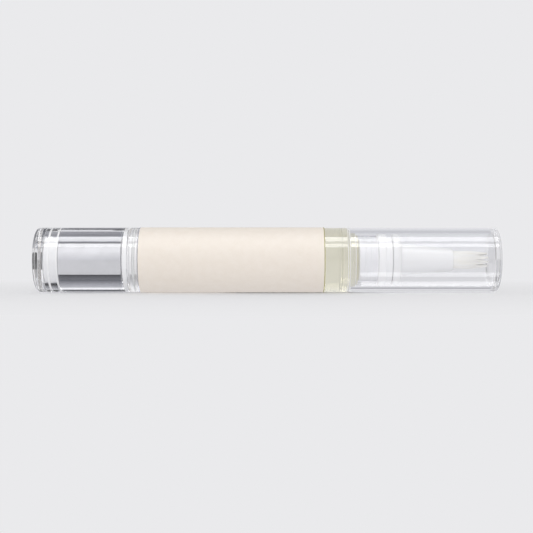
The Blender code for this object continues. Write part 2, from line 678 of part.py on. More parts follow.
def make_knob_plug():
    floor = PLUG_BACK + PLUG_FLOOR
    corners = [
        (PLUG_BACK, 0),
        (PLUG_BACK, SLEEVE_RADIUS, EDGE_BREAK),
        (PLUG_FRONT, SLEEVE_RADIUS, EDGE_BREAK),
        (PLUG_FRONT, TAIL_HOLE),
        (floor, TAIL_HOLE),
        (floor, 0),
    ]
    return turned("knob_plug", corners, INNER_SIDES, finish_of("white_plug", (0.92, 0.92, 0.93), 0.3))


def make_lead_screw():
    """A rod with two flats, joined to the neck and head that the piston snaps over."""
    material = finish_of("white_screw", (0.88, 0.88, 0.87), 0.35)
    outline = keyed_outline(SCREW_RADIUS, SCREW_HALF_FLATS)
    screw = extruded("lead_screw", outline, SCREW_BACK, SCREW_FRONT, material)
    head_back = PISTON_BACK + PISTON_LIP + SEAT_GAP
    head_front = PISTON_BACK + PISTON_LIP + PISTON_SOCKET_DEPTH - SEAT_GAP
    corners = [
        (SCREW_FRONT - CUT_OVERRUN, 0),
        (SCREW_FRONT - CUT_OVERRUN, SCREW_NECK_RADIUS),
        (head_back, SCREW_NECK_RADIUS),
        (head_back, SCREW_HEAD_RADIUS),
        (head_front, SCREW_HEAD_RADIUS, SCREW_HEAD_RADIUS / 2),
        (head_front, 0),
    ]
    head = turned("screw_head", corners, SMALL_SIDES)
    apply_tool(screw, head, "UNION")
    return screw


def make_piston():
    """Lands either side of the ring's groove, a waist, a rear lip and a socket for the screw's head."""
    land = CHAMBER_BORE - FIT_GAP
    nose = PISTON_FRONT - PISTON_NOSE
    groove_front = nose - PISTON_LAND / 2
    groove_back = groove_front - RING_GROOVE_DEPTH - FIT_GAP
    waist_front = groove_back - PISTON_LAND
    waist_back = waist_front - PISTON_WAIST_LENGTH
    socket_back = PISTON_BACK + PISTON_LIP
    corners = [
        (PISTON_FRONT, 0),
        (PISTON_FRONT, land - PISTON_NOSE),
        (nose, land),
        (groove_front, land),
        (groove_front, land - RING_GROOVE_DEPTH),
        (groove_back, land - RING_GROOVE_DEPTH),
        (groove_back, land),
        (waist_front, land),
        (waist_front - PISTON_WAIST_DEPTH, land - PISTON_WAIST_DEPTH),
        (waist_back, land - PISTON_WAIST_DEPTH),
        (waist_back - PISTON_WAIST_DEPTH / 2, land),
        (PISTON_BACK, land, EDGE_BREAK),
        (PISTON_BACK, SCREW_NECK_RADIUS + FIT_GAP),
        (socket_back, SCREW_NECK_RADIUS + FIT_GAP),
        (socket_back, SCREW_HEAD_RADIUS + FIT_GAP),
        (socket_back + PISTON_SOCKET_DEPTH, SCREW_HEAD_RADIUS + FIT_GAP),
        (socket_back + PISTON_SOCKET_DEPTH, 0),
    ]
    return turned("piston", corners, INNER_SIDES, finish_of("white_piston", (0.92, 0.92, 0.90), 0.4))


def make_piston_ring():
    land = CHAMBER_BORE - FIT_GAP
    middle = PISTON_FRONT - PISTON_NOSE - PISTON_LAND / 2 - (RING_GROOVE_DEPTH + FIT_GAP) / 2
    outline = seal_outline(middle, land - RING_GROOVE_DEPTH + FIT_GAP / 2, CHAMBER_BORE - FIT_GAP / 2)
    return turned("piston_ring", outline, INNER_SIDES, finish_of("ring_rubber", (0.75, 0.78, 0.78), 0.5))


def group(name, place, pieces):
    """An empty on the axis that the pieces of one moving body hang from."""
    holder = bpy.data.objects.new(name, None)
    holder.location = (place, 0, 0)
    bpy.context.scene.collection.objects.link(holder)
    bpy.context.view_layer.update()
    for piece in pieces:
        piece.parent = holder
        piece.matrix_parent_inverse = holder.matrix_world.inverted()


def report_volumes():
    chamber = math.pi * CHAMBER_BORE**2 * (CHAMBER_END - PISTON_FRONT)
    neck = math.pi * NECK_BORE**2 * (FITTING_BACK - CHAMBER_END)
    print("oil, ml:", round((chamber + neck) * 1e6, 2))
    print("room ahead of the piston, mm:", round((CHAMBER_END - PISTON_FRONT) * 1e3, 2))
    print("screw left behind the key, mm:", round((TUBE_FRONT - KEY_LENGTH - SCREW_BACK) * 1e3, 2))


def main():
    clear_scene()
    fixed = [
        make_barrel_tube(),
        make_label(),
        make_oil_fill(),
        make_thread_insert(),
        make_neck_fitting(),
        make_brush_holder(),
        make_feed_tube(),
        make_bristles(),
    ]
    knob = [
        make_knob_shell(),
        make_knob_sleeve(),
        make_knob_plug(),
        make_drive_tube(),
        make_drive_seal(),
        make_ratchet_ring(),
    ]
    group("barrel_group", BARREL_BACK, fixed)
    group("cap_group", CAP_MOUTH, [make_cap_shell()])
    group("knob_group", KNOB_MOUTH, knob)
    group("screw_group", SCREW_FRONT, [make_lead_screw()])
    group("piston_group", PISTON_BACK, [make_piston(), make_piston_ring()])
    report_volumes()


main()
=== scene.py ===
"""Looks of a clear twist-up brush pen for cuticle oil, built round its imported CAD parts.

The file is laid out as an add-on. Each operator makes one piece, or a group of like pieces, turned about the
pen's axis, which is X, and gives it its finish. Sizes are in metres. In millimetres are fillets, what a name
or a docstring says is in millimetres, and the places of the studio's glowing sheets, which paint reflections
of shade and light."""

import math
import random
from types import SimpleNamespace

import bmesh
import bpy
from mathutils import Matrix, Vector


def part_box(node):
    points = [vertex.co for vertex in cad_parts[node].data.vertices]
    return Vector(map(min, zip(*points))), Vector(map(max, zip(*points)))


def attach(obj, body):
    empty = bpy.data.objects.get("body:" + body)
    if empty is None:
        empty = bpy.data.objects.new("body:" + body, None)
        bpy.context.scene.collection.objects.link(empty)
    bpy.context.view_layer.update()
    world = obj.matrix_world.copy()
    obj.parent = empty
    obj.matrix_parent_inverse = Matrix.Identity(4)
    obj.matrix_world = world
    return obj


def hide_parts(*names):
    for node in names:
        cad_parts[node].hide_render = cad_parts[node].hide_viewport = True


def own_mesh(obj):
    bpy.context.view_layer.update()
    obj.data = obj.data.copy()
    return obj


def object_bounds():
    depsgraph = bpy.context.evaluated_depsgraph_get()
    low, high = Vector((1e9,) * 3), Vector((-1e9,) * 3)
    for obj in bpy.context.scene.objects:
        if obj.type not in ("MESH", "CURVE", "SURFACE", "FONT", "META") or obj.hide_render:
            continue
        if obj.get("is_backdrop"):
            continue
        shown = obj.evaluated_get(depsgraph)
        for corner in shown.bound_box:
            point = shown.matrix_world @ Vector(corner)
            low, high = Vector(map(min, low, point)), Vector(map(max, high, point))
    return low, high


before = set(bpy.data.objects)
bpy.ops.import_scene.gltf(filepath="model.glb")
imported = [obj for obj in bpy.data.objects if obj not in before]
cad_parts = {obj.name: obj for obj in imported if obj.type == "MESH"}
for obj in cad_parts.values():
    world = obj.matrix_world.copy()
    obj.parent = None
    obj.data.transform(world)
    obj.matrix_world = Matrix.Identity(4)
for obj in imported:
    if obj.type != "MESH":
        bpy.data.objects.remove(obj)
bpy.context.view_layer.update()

bl_info = {
    "name": "Twist-up brush pen",
    "version": (1, 0, 0),
    "blender": (4, 5, 0),
    "location": "3D View > Sidebar > Brush pen",
    "description": "Makes the clear shells, oil, brush, drive and studio of a twist-up brush pen",
    "category": "Object",
}

MM = 0.001
TAU = math.tau

# Radii as shares of the chamber, the sleeve's bore, the screw, the neck's bore and the flange
SHARES = SimpleNamespace(
    screw=0.32, nose=0.48, journal=0.785, tail=0.745, flats=0.71, stem=0.58, head=1.03, shank=0.55,
    spigot=0.89,
)
# The ratchet's hub and both sides of its arms, as shares of the room between the drive's nose and the skirt
RATCHET_PARTS = (0.295, 0.5, 0.735)
PAWL_REACH, TEETH, STEEP = 0.65, 12, 0.06
# How far a held piece reaches into the clear wall round it, and the length of the thread and of the key
CONTACT, THREADED = 0.01 * MM, 3 * MM
NECK_ROOM, SOCKET_WALL, SLIDE_ROOM = 0.7 * MM, 0.5 * MM, 0.3 * MM
# Steps round the pieces that are seen best, the least area of a corner that bends, and the least length
SMOOTH, NO_BEND, NO_LENGTH = 160, 1e-12, 0.0001 * MM


def size(name, description, millimetres):
    return bpy.props.FloatProperty(
        name=name, description=description, default=millimetres * MM, min=0, unit="LENGTH", precision=5
    )


def colour(name, description, red, green, blue):
    return bpy.props.FloatVectorProperty(
        name=name, description=description, default=(red, green, blue), min=0, max=1, size=3, subtype="COLOR"
    )


def share(name, description, value):
    return bpy.props.FloatProperty(name=name, description=description, default=value, min=0, subtype="FACTOR")


class PenSizes(bpy.types.PropertyGroup):
    """Radii, walls and gaps of the pen's pieces."""

    body_radius: size("Body", "Outer radius of cap, barrel and knob", 8.5)
    knob_wall: size("Knob wall", "Thickness of the knob's clear wall", 2.3)
    knob_end: size("Knob end", "Thickness of the knob's closed end", 2.4)
    barrel_wall: size("Barrel wall", "Thickness of the barrel's clear wall", 1.5)
    shoulder: size("Shoulder", "Thickness of the barrel's shoulder", 1.5)
    seat_length: size("Cap seat", "Length of the land that the cap pushes onto", 2.0)
    neck_wall: size("Neck wall", "Thickness of the barrel's neck", 0.75)
    cap_wall: size("Cap wall", "Thickness of the cap's clear wall", 1.2)
    cap_end: size("Cap end", "Thickness of the cap's closed end", 1.5)
    end_edge: size("End edge", "Rounding round both flat ends", 1.0)
    fit_gap: size("Fit gap", "Gap all round a piece that fits in another", 0.15)
    seat_gap: size("Seat gap", "Gap between faces that rest on each other", 0.3)
    label_thickness: size("Label", "Thickness of the wrap-round label", 0.09)
    sleeve_wall: size("Sleeve wall", "Thickness of the silver sleeve", 0.55)
    foot_radius: size("Holder foot", "Radius of the ring at the brush holder's foot", 6.9)
    cone_base: size("Cone base", "Radius of the holder's cone at its foot", 4.18)
    cone_tip: size("Cone tip", "Radius of the holder's cone at the brush", 3.0)
    strand: size("Strand", "Radius of one bristle", 0.075)
    thread_depth: size("Thread depth", "Depth of the lead screw's thread", 0.38)
    thread_lead: size("Thread lead", "Travel of the lead screw in one turn", 2.0)


class PenColours(bpy.types.PropertyGroup):
    """Base colours of the pen's finishes."""

    clear: colour("Clear plastic", "Tint of the clear mouldings", 0.935, 0.936, 0.945)
    oil: colour("Oil", "Colour of the oil", 0.87, 0.84, 0.67)
    label: colour("Label", "Colour of the label film", 0.86, 0.79, 0.715)
    white: colour("White plastic", "Colour of the white mouldings", 0.94, 0.94, 0.945)
    silver: colour("Silver", "Colour of the silvered sleeve", 0.80, 0.80, 0.82)
    bristle: colour("Bristles", "Colour of the brush", 1.0, 0.985, 0.945)
    rubber: colour("Rubber", "Colour of the two seal rings", 0.72, 0.73, 0.73)


class PenStudio(bpy.types.PropertyGroup):
    """Camera, floor and light."""

    background: colour("Background", "Colour of the floor's surround and the backdrop", 0.823, 0.823, 0.839)
    floor: colour("Floor", "Colour of the floor", 0.85, 0.85, 0.866)
    surround: share("Surround", "Strength of the even light from all round", 0.77)
    overhead: share("Overhead", "Strength of the soft lamp above", 0.6)
    fill: share("Fill", "Strength of the soft lamp in front", 1.5)
    strips: share("Strips", "Brightness of the strip boxes seen in gloss", 4.8)
    distance: size("Distance", "From the camera to the pen's axis", 307)
    lens: bpy.props.FloatProperty(
        name="Lens", description="Focal length", default=78.3, min=1, subtype="DISTANCE_CAMERA"
    )


# Outlines and turned meshes


def span(node):
    """Where a CAD piece begins and ends along the pen."""
    low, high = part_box(node)
    return low.x, high.x


def round_angles(count):
    return [TAU * step / count for step in range(count)]


def polar(radius, angle):
    return radius * math.cos(angle), radius * math.sin(angle)


def arc(corner, before, after, radius):
    """Points that round one corner of an outline."""
    most, beside = 0.49, 0.03 * MM
    back, on = before - corner, after - corner
    half = back.angle(on) / 2
    along = min(radius / math.tan(half), back.length * most, on.length * most)
    centre = corner + (back.normalized() + on.normalized()).normalized() * along / math.cos(half)
    start, end = corner + back.normalized() * along - centre, corner + on.normalized() * along - centre
    turn = -start.angle_signed(end)
    steps = max(2, math.ceil(abs(turn) / math.radians(11)))
    points = [centre + Matrix.Rotation(turn * step / steps, 2) @ start for step in range(steps + 1)]
    # A point just off each end of the rounding keeps the flat beside it flat to the light
    for point, side in ((points[0], back), (points[-1], on)):
        if side.length * most - along > beside:
            points.insert(0 if side is back else len(points), point + side.normalized() * beside)
    return points


def rounded(corners, soft=0.06):
    """Points of a closed half section, from corners as (x, radius) or (x, radius, fillet, or 0 for none)."""
    points = []
    for index, corner in enumerate(corners):
        here = Vector(corner[:2])
        before, after = Vector(corners[index - 1][:2]), Vector(corners[(index + 1) % len(corners)][:2])
        fillet = corner[2] if len(corner) > 2 else soft
        straight = abs((before - here).cross(after - here)) < NO_BEND
        if corner[1] == 0 or fillet == 0 or straight:
            points.append(here)
        else:
            points += arc(here, before, after, fillet * MM)
    return points


def ring(mesh, x, radius, around):
    """One ring of vertices. The radius is a number or a function of the angle."""
    if not callable(radius) and radius == 0:
        return [mesh.verts.new((x, 0, 0))]
    angles = round_angles(around)
    radii = map(radius, angles) if callable(radius) else [radius] * around
    return [mesh.verts.new((x, *polar(far, angle))) for angle, far in zip(angles, radii)]


def skinned(mesh, rings):
    """Faces from each ring to the next. The first or last ring may be a point on the axis."""
    for first, second in zip(rings, rings[1:]):
        count = max(len(first), len(second))
        for step in range(count):
            corners = []
            for turn, where in ((step, first), (step + 1, first), (step + 1, second), (step, second)):
                vertex = where[turn % len(where)]
                if vertex not in corners:
                    corners.append(vertex)
            mesh.faces.new(corners)


def placed(name, data):
    item = bpy.data.objects.new(name, data)
    bpy.context.scene.collection.objects.link(item)
    return item


def finished(name, mesh, sharp=38):
    """An object from a bmesh, smooth but for its sharp edges."""
    bmesh.ops.recalc_face_normals(mesh, faces=mesh.faces)
    data = bpy.data.meshes.new(name)
    mesh.to_mesh(data)
    mesh.free()
    data.shade_smooth()
    data.set_sharp_from_angle(angle=math.radians(sharp))
    return placed(name, data)


def lofted(name, stations, around=144, sharp=38):
    """A mesh through rings along X. A section that stays off the axis closes on itself."""
    mesh = bmesh.new()
    rings = [ring(mesh, x, radius, around) for x, radius in stations]
    closed = len(rings[0]) > 1 and len(rings[-1]) > 1
    skinned(mesh, [*rings, rings[0]] if closed else rings)
    # Rings that touch along part of their way round leave no empty faces between them
    bmesh.ops.remove_doubles(mesh, verts=mesh.verts[:], dist=NO_LENGTH)
    return finished(name, mesh, sharp)


def turned(name, corners, around=144, soft=0.06):
    return lofted(name, rounded(corners, soft), around)


def notch(middle, half, level, floor, *fillet):
    """The four corners of a groove or a rib. A half below 0 gives them from the far side."""
    spots = ((-half, level), (-half, floor), (half, floor), (half, level))
    return [(middle + side, radius, *fillet) for side, radius in spots]


def flatted(radius, half):
    """A radius that follows a circle, cut by a flat above and below."""

    def at(angle):
        rise = abs(math.sin(angle))
        return min(radius, half / rise) if rise else radius

    return at


def crest(x, angle, lead, start):
    """How high a two-start thread stands at one place and angle: 0 is its groove and 1 is its land."""
    wave = abs((2 * x / lead - 2 * angle / TAU) % 1.0 * 2 - 1)
    return min(1.0, max(0.0, (wave - start) / 0.4))


def settled(item, body, material, node):
    """Gives a piece its finish, lets it ride on its body and stand for its CAD piece."""
    item.data.materials.append(material)
    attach(item, body)
    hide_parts(node)


def coated(item, material, wanted):
    """Gives one more finish to the faces that pass a test."""
    item.data.materials.append(material)
    for face in item.data.polygons:
        if wanted(face):
            face.material_index = len(item.data.materials) - 1


def edged(item, material, *stretches):
    """Gives another finish to faces from some millimetres before to some after places along the pen."""
    ranges = [(place - before * MM, place + after * MM) for place, before, after in stretches]
    coated(item, material, lambda face: any(low < face.center.x < high for low, high in ranges))


# Finishes


def opaque(tint, *factors):
    """A tint without transparency, times one factor or times one for each channel, and nowhere above 1."""
    return (*[min(1.0, channel * factor) for channel, factor in zip(tint, (factors or (1.0,)) * 3)], 1.0)


class Finish:
    """A material, or the world, whose nodes are added one after another."""

    def __init__(self, name, owner=None):
        self.material = owner or bpy.data.materials.new(name)
        self.material.use_nodes = True
        self.tree = self.material.node_tree
        self.tree.nodes.clear()
        self.column = 0

    def add(self, kind, inputs=None, **settings):
        node = self.tree.nodes.new(kind)
        self.column += 1
        node.location = (self.column * 180 - 1600, -((self.column % 3) * 160))
        for key, value in settings.items():
            setattr(node, key, value)
        for key, value in (inputs or {}).items():
            self.feed(node.inputs[key], value)
        return node

    def feed(self, socket, value):
        if isinstance(value, bpy.types.NodeSocket):
            self.tree.links.new(value, socket)
        else:
            socket.default_value = value

    def place(self, stretch=(1, 1, 1)):
        """Object coordinates in metres, stretched for grain that runs one way."""
        where = self.add("ShaderNodeTexCoord").outputs["Object"]
        return self.add("ShaderNodeMapping", {"Vector": where, "Scale": stretch}).outputs[0]

    def along(self, axis, low, high):
        """0 to 1 along one axis of the object, from one place to another."""
        parts = self.add("ShaderNodeSeparateXYZ", {0: self.place()})
        return self.ranged(parts.outputs[axis], 0.0, 1.0, low, high)

    def noise(self, scale, detail=3.0, roughness=0.5, stretch=(1, 1, 1)):
        inputs = {"Vector": self.place(stretch), "Scale": scale, "Detail": detail, "Roughness": roughness}
        return self.add("ShaderNodeTexNoise", inputs).outputs["Fac"]

    def ranged(self, value, low, high, start=0.0, end=1.0):
        """A value brought from one range to another, and kept inside it."""
        inputs = {"Value": value, "From Min": start, "From Max": end, "To Min": low, "To Max": high}
        return self.add("ShaderNodeMapRange", inputs).outputs[0]

    def maths(self, operation, *values):
        node = self.add("ShaderNodeMath", operation=operation)
        for socket, value in zip(node.inputs, values):
            self.feed(socket, value)
        return node.outputs[0]

    def mixed(self, factor, first, second):
        return self.add("ShaderNodeMix", {"Factor": factor, 6: first, 7: second}, data_type="RGBA").outputs[2]

    def toned(self, tint, grain, start, end, *factors):
        """A tint that turns to itself times some factors as a grain goes from start to end."""
        return self.mixed(self.ranged(grain, 0, 1, start, end), opaque(tint), opaque(tint, *factors))

    def graded(self, value, stops):
        """A grey that follows a row of (place from 0 to 1, level) stops."""
        node = self.add("ShaderNodeValToRGB", {"Fac": value})
        elements = node.color_ramp.elements
        elements.remove(elements[0])
        for index, (place, level) in enumerate(stops):
            element = elements[0] if index == 0 else elements.new(place)
            element.position = place
            dim = max(0.0, 1.0 - level)
            element.color = (level, level * (1 + 0.02 * dim), level * (1.015 + 0.13 * dim), 1)
        return node.outputs[0]

    def bump(self, height, millimetres, strength):
        inputs = {"Height": height, "Distance": millimetres * MM, "Strength": strength}
        return self.add("ShaderNodeBump", inputs).outputs[0]

    def path(self):
        return self.add("ShaderNodeLightPath").outputs

    def principled(self, **inputs):
        inputs = {key.replace("_", " "): value for key, value in inputs.items()}
        return self.add("ShaderNodeBsdfPrincipled", inputs).outputs[0]

    def clear(self, tint):
        return self.add("ShaderNodeBsdfTransparent", {"Color": tint}).outputs[0]

    def glow(self, tint, strength=1.0):
        return self.add("ShaderNodeEmission", {"Color": tint, "Strength": strength}).outputs[0]

    def blend(self, factor, first, second):
        return self.add("ShaderNodeMixShader", {0: factor, 1: first, 2: second}).outputs[0]

    def close(self, surface):
        self.add("ShaderNodeOutputMaterial", {"Surface": surface})
        return self.material


def see_through(finish, surface, tint=(0.985, 0.985, 0.988)):
    """Closes a clear finish, which lets light through to what stands behind it and ends long bounces."""
    path = finish.path()
    lets = finish.maths("MAXIMUM", path["Is Shadow Ray"], path["Is Diffuse Ray"])
    spent = finish.maths("GREATER_THAN", path["Ray Depth"], 4.5)
    lets = finish.maths("MAXIMUM", lets, spent)
    return finish.close(finish.blend(lets, surface, finish.clear(opaque(tint))))


def clear_plastic(name, tint):
    """Clear moulded plastic: faint flow waves, hairline scuffs and handling marks in its gloss."""
    finish = Finish(name)
    waves = finish.noise(260, 1.0, stretch=(0.35, 1, 1))
    hairs = finish.ranged(finish.noise(5200, 2.0, stretch=(0.06, 1, 1)), 0, 1, 0.58, 0.72)
    marks = finish.ranged(finish.noise(420, 4.0, 0.7), 0, 1, 0.5, 0.7)
    surface = finish.principled(
        Base_Color=opaque(tint),
        Roughness=finish.ranged(finish.maths("MULTIPLY", hairs, marks), 0.006, 0.09),
        Normal=finish.bump(waves, 0.006, 0.5), Transmission_Weight=1.0, IOR=1.5,
    )
    return see_through(finish, surface)


def matt_edge(name, tint):
    """The matt, slightly milky skin of a clear moulding's cut edges, which scatters the light."""
    finish = Finish(name)
    grains = finish.noise(6500, 3.0, 0.6)
    surface = finish.principled(
        Base_Color=finish.mixed(grains, opaque(tint), (1, 1, 1, 1)),
        Roughness=finish.ranged(grains, 0.35, 0.6, 0.3, 0.7), Normal=finish.bump(grains, 0.01, 0.6),
        Transmission_Weight=0.45, IOR=1.5,
    )
    return see_through(finish, surface)


def oil_finish(name, tint):
    """Pale clear oil, a little uneven in colour."""
    finish = Finish(name)
    body = finish.toned(tint, finish.noise(180, 2.0), 0.35, 0.65, 1.06)
    surface = finish.principled(Base_Color=body, Roughness=0.0, Transmission_Weight=1.0, IOR=1.46)
    return see_through(finish, surface, [math.sqrt(channel) for channel in tint])


def white_moulding(name, tint, gloss=0.3):
    """Moulded white plastic: a waxy body, a fine satin grain and slight cloudiness."""
    finish = Finish(name)
    grains = finish.noise(9000, 2.0)
    surface = finish.principled(
        Base_Color=finish.toned(tint, finish.noise(320), 0.35, 0.7, 0.965),
        Roughness=finish.ranged(grains, gloss - 0.06, gloss + 0.08), Normal=finish.bump(grains, 0.004, 0.6),
        Subsurface_Weight=0.12, Subsurface_Radius=(1.0, 0.95, 0.9), Subsurface_Scale=0.4 * MM, IOR=1.49,
    )
    return finish.close(surface)


def pearl(name, tint):
    """White plastic with a thin pearly skin, which mirrors its surroundings faintly."""
    finish = Finish(name)
    body = finish.toned(tint, finish.noise(300), 0.35, 0.7, 0.96)
    roughness = finish.ranged(finish.noise(5200, 2.0, stretch=(1, 0.04, 0.04)), 0.05, 0.13, 0.3, 0.7)
    return finish.close(finish.principled(Base_Color=body, Metallic=0.45, Roughness=roughness))


def silvered(name, tint):
    """A mirror-bright silvered skin with fine marks round it."""
    finish = Finish(name)
    rounds = finish.noise(7000, stretch=(1, 0.03, 0.03))
    body = finish.toned(tint, finish.noise(240), 0.35, 0.7, 0.93)
    roughness = finish.ranged(rounds, 0.03, 0.09, 0.3, 0.7)
    normal = finish.bump(rounds, 0.0015, 0.3)
    return finish.close(finish.principled(Base_Color=body, Metallic=1.0, Roughness=roughness, Normal=normal))


def label_film(name, tint):
    """Uncoated cream film: fine fibres, a soft mottle and a dull sheen."""
    finish = Finish(name)
    fibres = finish.noise(7600, 3.0, 0.65, stretch=(0.25, 1, 1))
    mottled = finish.toned(tint, finish.noise(520, 4.0, 0.6), 0.3, 0.7, 0.965, 0.955, 0.94)
    surface = finish.principled(
        Base_Color=finish.mixed(finish.ranged(fibres, 0, 0.55, 0.45, 0.75), mottled, opaque(tint, 1.03)),
        Roughness=finish.ranged(fibres, 0.46, 0.62, 0.3, 0.7), Normal=finish.bump(fibres, 0.005, 0.5),
        IOR=1.45,
    )
    # Light from all round reaches the inside of the barrel through the thin film
    path = finish.path()
    lamps = finish.maths("MULTIPLY", path["Is Shadow Ray"], 0.4)
    lets = finish.maths("MAXIMUM", lamps, finish.maths("MULTIPLY", path["Is Diffuse Ray"], 0.96))
    return finish.close(finish.blend(lets, surface, finish.clear((1, 0.97, 0.93, 1))))


def film_margin(name):
    """The label's clear margin: thin glossy film, which takes the oil's colour where oil stands behind it."""
    finish = Finish(name)
    oiled = finish.along("X", -10 * MM, 10 * MM)
    specks = finish.ranged(finish.noise(2400, 2.0), 0.94, 1.0)
    tint = finish.mixed(oiled, (0.94, 0.95, 0.98, 1), (0.8, 0.785, 0.6, 1))
    tint = finish.mixed(specks, (0.7, 0.7, 0.66, 1), tint)
    gloss = finish.principled(Base_Color=tint, Roughness=0.12)
    return finish.close(finish.blend(0.06, finish.clear(tint), gloss))


def filament(name, tint):
    """Soft cream synthetic hair, each strand a little lighter or darker than the next."""
    finish = Finish(name)
    strands = finish.ranged(finish.noise(5600, 1.0, stretch=(0.02, 1, 1)), 0, 1, 0.35, 0.65)
    roughness = finish.ranged(finish.noise(900, 2.0, stretch=(1, 0.2, 0.2)), 0.34, 0.5)
    body = finish.mixed(strands, opaque(tint, 0.97, 0.965, 0.94), opaque(tint, 1.06))
    return finish.close(finish.principled(Base_Color=body, Roughness=roughness, Sheen_Weight=0.25, IOR=1.45))


def rubber(name, tint):
    """Soft pale rubber with a powdery surface."""
    finish = Finish(name)
    dust = finish.noise(3600, 4.0, 0.6)
    body = finish.toned(tint, dust, 0.4, 0.7, 1.08)
    roughness, normal = finish.ranged(dust, 0.5, 0.7), finish.bump(dust, 0.006, 0.5)
    return finish.close(finish.principled(Base_Color=body, Roughness=roughness, Normal=normal))


# The pen's measures and pieces


def measures(context):
    """Radii and places along the axis that several pieces share, from the sizes and the CAD pieces."""
    sizes = context.scene.pen_sizes
    at = SimpleNamespace(body=sizes.body_radius, gap=sizes.fit_gap, seat=sizes.seat_gap)
    at.knob_back, at.knob_mouth = span("knob_shell")
    at.cap_mouth, at.cap_tip = span("cap_shell")
    at.barrel_back, at.rim = span("barrel_tube")
    at.ratchet_back, at.ratchet_front = span("ratchet_ring")
    at.shoulder = at.cap_mouth - at.seat
    at.chamber = at.body - sizes.barrel_wall
    at.chamber_end = at.shoulder - sizes.shoulder
    at.cap_bore = at.body - sizes.cap_wall
    at.knob_bore = at.body - sizes.knob_wall
    at.sleeve = at.knob_bore - at.gap
    at.sleeve_bore = at.sleeve - sizes.sleeve_wall
    at.tail_hole = SHARES.tail * at.sleeve_bore
    at.neck = at.cap_bore - NECK_ROOM
    at.neck_bore = at.neck - sizes.neck_wall
    at.shank = SHARES.shank * at.neck_bore
    at.socket = sizes.cone_tip - SOCKET_WALL
    at.screw = SHARES.screw * at.chamber
    at.flats = SHARES.flats * at.screw
    at.stem, at.head = SHARES.stem * at.screw, SHARES.head * at.screw
    at.nose = SHARES.nose * at.chamber
    at.journal = SHARES.journal * at.chamber
    at.journal_front = at.ratchet_back - at.seat
    at.drive_bore = at.screw + SLIDE_ROOM
    at.seat_flats = (at.drive_bore + at.nose) / 2
    room = at.journal - at.nose - 3 * at.gap
    at.hub, at.arm_inner, at.arm_outer = (at.nose + at.gap + part * room for part in RATCHET_PARTS)
    at.crest, at.valley = at.arm_outer + at.gap, at.journal - at.gap
    return at


class PenPiece:
    """What every piece's operator shares."""

    bl_options = {"REGISTER", "UNDO"}

    def execute(self, context):
        self.make(measures(context), context.scene.pen_sizes, context.scene.pen_colours)
        return {"FINISHED"}


class PEN_OT_cap(PenPiece, bpy.types.Operator):
    """Make the clear pull-off cap"""

    bl_idname = "pen.cap"
    bl_label = "Cap"

    def make(self, at, sizes, colours):
        bore_end = at.cap_tip - sizes.cap_end
        corners = [
            (at.cap_tip, 0), (at.cap_tip, at.body, sizes.end_edge / MM), (at.cap_mouth, at.body, 0.18),
            (at.cap_mouth, at.cap_bore, 0.22), (bore_end, at.cap_bore, 0.7), (bore_end, 0),
        ]
        item = turned("cap", corners, SMOOTH)
        settled(item, "cap", clear_plastic("cap_clear", colours.clear), "cap_shell")
        edged(item, matt_edge("cap_edge", colours.clear), (at.cap_mouth, 1, 0.17))


class PEN_OT_barrel(PenPiece, bpy.types.Operator):
    """Make the clear barrel with its shoulder, cap seat and neck"""

    bl_idname = "pen.barrel"
    bl_label = "Barrel"

    def make(self, at, sizes, colours):
        seat_end = at.shoulder + sizes.seat_length
        land = at.cap_bore - at.gap
        corners = [
            (at.barrel_back, at.body, 0.2), (at.shoulder, at.body, 0.3), (at.shoulder, land, 0.12),
            (seat_end, land, 0.2), (seat_end, at.neck, 0.1), (at.rim, at.neck, 0.2),
            (at.rim, at.neck_bore, 0.1), (at.chamber_end, at.neck_bore, 0.15),
            (at.chamber_end, at.chamber, 0.8), (at.barrel_back, at.chamber, 0.2),
        ]
        item = turned("barrel", corners, SMOOTH)
        settled(item, "barrel", clear_plastic("barrel_clear", colours.clear), "barrel_tube")
        edge = matt_edge("barrel_edge", colours.clear)
        edged(item, edge, (at.shoulder, 0.2, 0.1), (seat_end, 0.15, 0.05), (at.rim, 0.1, 1))


class PEN_OT_label(PenPiece, bpy.types.Operator):
    """Make the bare wrap-round label, whose end laps over its start just behind the top"""

    bl_idname = "pen.label"
    bl_label = "Label"

    def make(self, at, sizes, colours):
        back, front = span("label")
        start, lap = math.radians(76), math.radians(14)
        around, along = 220, 60
        film, lift = sizes.label_thickness * 0.5, sizes.label_thickness * 0.45
        margin, overhang = 0.3, 0.06
        paper_back, paper_front = back + margin * MM, front + overhang * MM
        xs = [paper_back + (paper_front - paper_back) * place / (along - 2) for place in range(along - 1)]
        xs = [back, *xs, front + margin * MM]
        mesh = bmesh.new()
        loops = []
        for step in range(around + 1):
            turn = (TAU + lap) * step / around
            lifted = min(1.0, max(0.0, (turn - TAU + lap * 0.6) / lap))
            low = at.body + 0.02 * MM + lifted * lift
            loop = [(x, low) for x in xs] + [(x, low + film) for x in reversed(xs)]
            loops.append([mesh.verts.new((x, *polar(radius, start + turn))) for x, radius in loop])
        skinned(mesh, loops)
        for loop in (loops[0], loops[-1]):
            for place in range(along):
                mesh.faces.new((loop[place], loop[place + 1], loop[-place - 2], loop[-place - 1]))
        item = finished("label_wrap", mesh, 50)
        settled(item, "barrel", label_film("label_cream", colours.label), "label")
        edged(item, film_margin("label_margin"), (back, 1, margin), (front, -overhang, 1))
        # The side that is stuck to the barrel is white, as it shows through the oil
        white = label_film("label_back", (0.965, 0.955, 0.925))
        coated(item, white, lambda face: not face.material_index and face.normal.yz.dot(face.center.yz) < 0)


